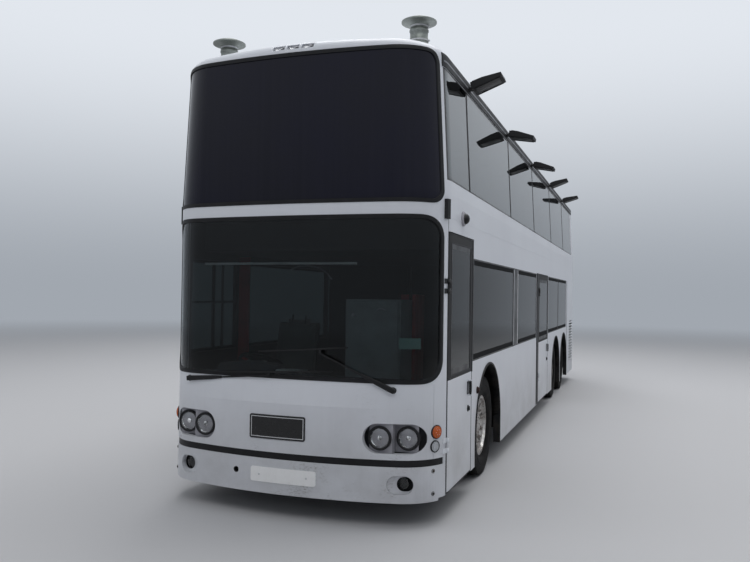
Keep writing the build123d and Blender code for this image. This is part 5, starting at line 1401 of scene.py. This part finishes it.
def double_seat():
    """Meshes of one double seat: its cushions and its backs with their piping, its shells with the handles,
    and its frame."""
    wide = SEAT_WIDE - 0.012
    cushion = swollen(pad_mesh("seat_pad", wide, CUSHION_DEEP - 0.012, 0.08, 0.012, 2), "seat_pad", 0.02,
                      0.01)
    back = swollen(pad_mesh("back_pad", wide, BACK_HIGH - 0.012, 0.05, 0.012, 2), "back_pad", 0.02, 0.009)
    outline = pad_outline(SEAT_WIDE / 2 - 0.008, CUSHION_DEEP / 2 - 0.008, 0.03, 0.006, 4)
    back_line = pad_outline(SEAT_WIDE / 2 - 0.008, BACK_HIGH / 2 - 0.008, 0.04, 0.006, 4)
    cushions, backs, shells = [], [], []
    for shift in (-0.2225, 0.2225):
        seat = Matrix.Translation((shift, 0.215, 0.338))
        rear = back_place((shift, 0.508, 0.735))
        for pad, place, made in ((cushion, seat, cushions), (back, rear, backs)):
            copy = pad.copy()
            copy.transform(place)
            made.append(copy)
        cushions.append(seam_line(outline, seat, 0.074, 0.003))
        backs.append(seam_line(back_line, rear, 0.046, 0.003))
        shell = bmesh.new()
        cuboid(shell, (-0.212, -0.33, -0.016), (0.212, 0.322, -0.002), 0.006, rear)
        cuboid(shell, (-0.2, -0.205, -0.03), (0.2, 0.205, -0.002), 0.01, seat)
        cuboid(shell, (-0.16, -0.18, -0.022), (0.16, -0.09, -0.0165), 0.003, rear)
        shells.append(mesh_from(shell, "seat_shell", 0.0))
    handles = bmesh.new()
    for points, radius in (
        ([(-0.43, 0.572, 0.96), (-0.462, 0.6, 1.0), (-0.462, 0.61, 1.06), (-0.42, 0.6, 1.075)], 0.011),
        ([(-0.438, 0.48, 0.56), (-0.452, 0.44, 0.6), (-0.452, 0.16, 0.596), (-0.44, 0.13, 0.5)], 0.013),
    ):
        pipe(handles, points, radius, 10)
    shells.append(mesh_from(handles, "seat_handles", 0.0))
    tubes = bmesh.new()
    for x in (-0.3, 0.24):
        pipe(tubes, [(x, 0.08, 0.012), (x, 0.1, 0.29), (x, 0.34, 0.29), (x, 0.42, 0.012)], 0.016, 10)
        cuboid(tubes, (x - 0.022, 0.05, 0.0005), (x + 0.022, 0.45, 0.012), 0.003)
    for y in (0.11, 0.33):
        pipe(tubes, [(-0.43, y, 0.296), (0.43, y, 0.296)], 0.014, 10)
    return cushions, backs, shells, [mesh_from(tubes, "seat_frame", 0.0)]


def turned_over(mesh):
    """Mesh of a nearside seat, made its offside one."""
    bm = bmesh.new()
    bm.from_mesh(mesh)
    bmesh.ops.scale(bm, vec=(-1, 1, 1), verts=bm.verts)
    bmesh.ops.reverse_faces(bm, faces=bm.faces)
    bm.to_mesh(mesh)
    bm.free()
    return mesh


class COACH_OT_seats(bpy.types.Operator):
    """Makes the padded seats of the upper saloon and their frames"""
    bl_idname = "coach.seats"
    bl_label = "Upper seats"

    def execute(self, context):
        step = (0, context.scene.coach_settings.seat_pitch, 0)
        cushions, backs, shells, frames = double_seat()
        for name, finish, meshes, fill in (("upper_seat_cushions", "cloth", cushions, 0.8),
                                           ("upper_seat_backs", "cloth", backs, 0.7),
                                           ("upper_seat_shells", "plastic", shells, None),
                                           ("upper_seat_frames", "chassis", frames, None)):
            rows = []
            for side in SIDES:
                seat = joined(meshes, "double_seat")
                rows.append(repeated(seat if side > 0 else turned_over(seat), ROW, finish, SEAT_ROWS,
                                     at(side * 0.69, 1.5, 2.25), step))
            stands = ("upper_seats",) if name == "upper_seat_cushions" else ()
            piece = finish_piece(name, joined(rows, name), finish, angle=40,
                                 stands_for=stands)
        return {"FINISHED"}


class COACH_OT_driver_seat(bpy.types.Operator):
    """Makes the driver's padded seat with its head rest and sprung base"""
    bl_idname = "coach.driver_seat"
    bl_label = "Driver's seat"

    def execute(self, context):
        floor, x = 0.505, -0.62
        seat = Matrix.Translation(at(x, 1.24, floor + 0.325))
        rear = back_place(at(x, 1.535, floor + 0.74))
        head = back_place(at(x, 1.612, floor + 1.01))
        pads = {
            "driver_cushion": (pad_mesh("driver_pad", 0.466, 0.43, 0.085, 0.014, 1), seat, 0.85),
            "driver_back": (pad_mesh("driver_back_pad", 0.45, 0.56, 0.06, 0.014, 1), rear, 0.8),
            "driver_head_rest": (pad_mesh("head_pad", 0.25, 0.08, 0.045, 0.01), head, 0.9),
        }
        for name, (mesh, place, fill) in pads.items():
            made = swollen(mesh, name, 0.012, 0.01)
            made.transform(place)
            stands = ("driver_seat",) if name == "driver_cushion" else ()
            piece = finish_piece(name, made, "driver_cloth", angle=40, stands_for=stands)
        parts = Pieces("driver_seat_", shell="plastic", base="bellows")
        shell, base = parts.shell, parts.base
        cuboid(shell, (-0.228, -0.29, -0.024), (0.228, 0.285, -0.002), 0.01, rear)
        cuboid(shell, (-0.232, -0.21, -0.036), (0.232, 0.205, -0.002), 0.012, seat)
        for side in SIDES:
            pipe(shell, [rear @ Vector((side * 0.07, y, 0.02)) for y in (0.24, 0.3, 0.36)], 0.008, 8)
        cuboid(base, at(x - 0.15, 1.1, floor + 0.001), at(x + 0.15, 1.38, floor + 0.03), 0.006)
        for i in range(4):
            low = floor + 0.031 + i * 0.062
            cuboid(base, at(x - 0.15, 1.09, low), at(x + 0.15, 1.39, low + 0.058), 0.02)
        parts.put()
        return {"FINISHED"}


class COACH_OT_rear_fittings(bpy.types.Operator):
    """Makes the engine lid's louvres and latches and the seams of the rear"""
    bl_idname = "coach.rear_fittings"
    bl_label = "Rear fittings"

    def execute(self, context):
        slat = bmesh.new()
        outline = [(0.0003, 0.0), (0.014, 0.004), (0.014, 0.006), (0.0003, 0.032)]
        for x0, x1 in ((-0.64, -0.03), (0.03, 0.64)):
            skinned(slat, [[slat.verts.new((x, TAIL_Y + y, z)) for y, z in outline] for x in (x0, x1)])
        louvres = repeated(mesh_from(slat, "louvre", 0.0), ROW, "paint", 12, (0, 0, 0.7), (0, 0, 0.042))
        finish_piece("engine_lid_louvres", louvres, None, "engine_lid", 30)
        lid = Pieces("engine_lid_", latches="plastic", edge="gasket")
        for x in (-0.5, 0.5):
            cuboid(lid.latches, (x - 0.06, TAIL_Y + 0.0003, 0.556), (x + 0.06, TAIL_Y + 0.005, 0.604), 0.0015)
            cuboid(lid.latches, (x - 0.044, TAIL_Y + 0.004, 0.572), (x + 0.044, TAIL_Y + 0.016, 0.59), 0.003)
        for low, high in (((-0.79, TAIL_Y, 0.5095), (0.79, TAIL_Y + 0.0022, 0.5175)),
                          ((-0.79, TAIL_Y, 0.518), (-0.782, TAIL_Y + 0.0022, 1.31)),
                          ((0.782, TAIL_Y, 0.518), (0.79, TAIL_Y + 0.0022, 1.31))):
            cuboid(lid.edge, low, high, 0.0006)
        lid.put("engine_lid")
        parts = Pieces(rear_seams="gasket")
        for z in (1.42, 2.465):
            cuboid(parts.rear_seams, (-1.1, TAIL_Y + 0.0002, z - 0.003), (1.1, TAIL_Y + 0.0016, z + 0.003),
                   0.0005)
        parts.put()
        return {"FINISHED"}


class COACH_OT_roof_fittings(bpy.types.Operator):
    """Makes the sealed seams across the roof and the rivets and clamps of the vent cowls"""
    bl_idname = "coach.roof_fittings"
    bl_label = "Roof fittings"

    def execute(self, context):
        parts = Pieces(roof_seams="paint")
        for station in (2.4, 4.2, 6.0, 7.8, 9.6):
            layer(parts.roof_seams, on_roof, steps(-1.08, 1.08, 16), [station - 0.01, station + 0.01], -0.001,
                  0.002)
        parts.put()
        clamps = bmesh.new()
        place = Matrix.Translation(at(0.92, 0.6, 0))
        for z, radius in ((3.968, 0.0808), (4.09, 0.0768)):
            turned(clamps,
                   [(z, radius - 0.002), (z, radius + 0.0015), (z + 0.012, radius + 0.0015),
                    (z + 0.012, radius - 0.002)], place, 48, closed=True)
            cuboid(clamps, at(0.92 + radius, 0.592, z), at(0.92 + radius + 0.014, 0.608, z + 0.012), 0.002)
        for i in range(8):
            turn = 2 * pi * i / 8
            spot = Vector((0.92 + 0.098 * cos(turn), NOSE_Y + 0.6 + 0.098 * sin(turn), 3.9045))
            turned(clamps, [(-0.002, 0.0), (-0.002, 0.005), (0.0015, 0.0045), (0.0028, 0.002), (0.003, 0.0)],
                   axis_place(spot, (0, 0, 1)), 10)
        mirrored(clamps)
        finish_piece("cowl_clamps", mesh_from(clamps, "cowl_clamps", 0.0), "silver")
        return {"FINISHED"}


def studio_floor(tone):
    """Round plain floor that runs over into the backdrop's own colour far from the coach."""
    bm = bmesh.new()
    bmesh.ops.create_circle(bm, cap_ends=True, segments=96, radius=FLOOR_R)
    paint = surface("studio_floor_paint", tone, 0.85)
    far = ("EASE", ("LENGTH", PLACE), 0.28 * FLOOR_R, 0.95 * FLOOR_R, 0.0, 1.0)
    tree = paint.node_tree
    glow = node(tree, "ShaderNodeEmission", {"Color": HORIZON, "Strength": 1.0}).outputs[0]
    shader, out = tree.nodes["Principled BSDF"].outputs[0], tree.nodes["Material Output"]
    mixed = node(tree, "ShaderNodeMixShader", {0: ("MULTIPLY", far, SEEN), 1: shader, 2: glow}).outputs[0]
    feed(tree, out, {"Surface": mixed})
    mesh = mesh_from(bm, "studio_floor")
    mesh.materials.append(paint)
    return placed("studio_floor", mesh)


def studio_world():
    """Soft even light, and a pale backdrop that is seen and mirrored but lights nothing."""
    world = bpy.data.worlds.new("studio")
    world.use_nodes = True
    tree = world.node_tree
    tree.nodes.clear()
    light = node(tree, "ShaderNodeBackground", {"Color": "#E2E8F0", "Strength": 0.34}).outputs[0]
    tone = ("MIX", ("EASE", ("Z", ("AHEAD",)), 0.0, 0.34, 0.0, 1.0), HORIZON, "#E2E7EE")
    backdrop = node(tree, "ShaderNodeBackground", {"Color": tone, "Strength": 1.0}).outputs[0]
    both = node(tree, "ShaderNodeMixShader", {0: SEEN, 1: light, 2: backdrop}).outputs[0]
    node(tree, "ShaderNodeOutputWorld", {"Surface": both})
    return world


def soft_lamps(power):
    """Large round lamps: place, the point each looks at, width and share of the power."""
    for name, place, aim, size, share in (
        ("key_lamp", (5.0, -16.0, 15.0), (0, -3.0, 2.0), 9.0, 1.9),
        ("left_lamp", (-13.0, -11.0, 10.0), (0, -4.0, 2.0), 9.0, 1.2),
        ("top_lamp", (1.0, 1.0, 17.0), (0, 1.0, 0.0), 16.0, 6.8),
        ("right_lamp", (13.0, 3.0, 14.0), (1.2, 1.0, 1.5), 10.0, 1.3),
        ("rear_lamp", (-8.0, 17.0, 13.0), (0, 3.0, 2.0), 9.0, 1.7),
    ):
        data = bpy.data.lights.new(name, "AREA")
        data.shape, data.size, data.energy = "DISK", size, power * share
        lamp = placed(name, data)
        lamp.matrix_world = axis_place(place, Vector(place) - Vector(aim))
        # The side lamps' edges would show as hard wedges in the long flat sides
        lamp.visible_glossy = name not in ("right_lamp", "left_lamp")


def photo_camera():
    """Camera at the photograph's viewing angle."""
    data = bpy.data.cameras.new("photo_camera")
    data.sensor_width = 36.0
    data.lens = data.sensor_width * FOCAL / PICTURE_WIDE
    camera = placed("photo_camera", data)
    yaw, pitch, roll = (radians(turn) for turn in CAMERA_TURN)
    ahead = Vector((-sin(yaw) * cos(pitch), cos(yaw) * cos(pitch), sin(pitch)))
    right = Vector((cos(yaw), sin(yaw), 0.0))
    up = right.cross(ahead)
    right, up = right * cos(roll) + up * sin(roll), up * cos(roll) - right * sin(roll)
    turn = Matrix((right, up, -ahead)).transposed().to_4x4()
    camera.matrix_world = Matrix.Translation(CAMERA_AT) @ turn
    return camera


class COACH_OT_stage(bpy.types.Operator):
    """Makes the floor, the backdrop, the soft lamps and the camera"""
    bl_idname = "coach.stage"
    bl_label = "Stage"

    def execute(self, context):
        scene, settings = context.scene, context.scene.coach_settings
        floor = studio_floor(tuple(settings.floor_colour))
        scene.world = studio_world()
        soft_lamps(settings.lamp_power)
        scene.camera = photo_camera()
        scene.view_settings.view_transform = "Standard"
        return {"FINISHED"}


class COACH_PT_panel(bpy.types.Panel):
    bl_label = "Coach"
    bl_idname = "COACH_PT_panel"
    bl_space_type = "VIEW_3D"
    bl_region_type = "UI"
    bl_category = "Coach"

    def draw(self, context):
        settings = context.scene.coach_settings
        for name in CoachSettings.__annotations__:
            self.layout.prop(settings, name)
        for step in STEPS:
            self.layout.operator(step.bl_idname)


STEPS = (
    COACH_OT_finishes, COACH_OT_tyres, COACH_OT_wheel_nuts, COACH_OT_headlamps, COACH_OT_front_lamps,
    COACH_OT_rear_lamps, COACH_OT_window_trim, COACH_OT_door_trim, COACH_OT_plates, COACH_OT_front_fittings,
    COACH_OT_wipers, COACH_OT_floodlights, COACH_OT_cab, COACH_OT_seats, COACH_OT_driver_seat,
    COACH_OT_rear_fittings, COACH_OT_roof_fittings, COACH_OT_stage,
)
CLASSES = (CoachSettings, *STEPS, COACH_PT_panel)


def register():
    for cls in CLASSES:
        bpy.utils.register_class(cls)
    bpy.types.Scene.coach_settings = PointerProperty(type=CoachSettings)


def unregister():
    del bpy.types.Scene.coach_settings
    for cls in reversed(CLASSES):
        bpy.utils.unregister_class(cls)


def main():
    register()
    for step in STEPS:
        group, action = step.bl_idname.split(".")
        getattr(getattr(bpy.ops, group), action)()
    bpy.context.view_layer.update()


if __name__ == "__main__":
    main()
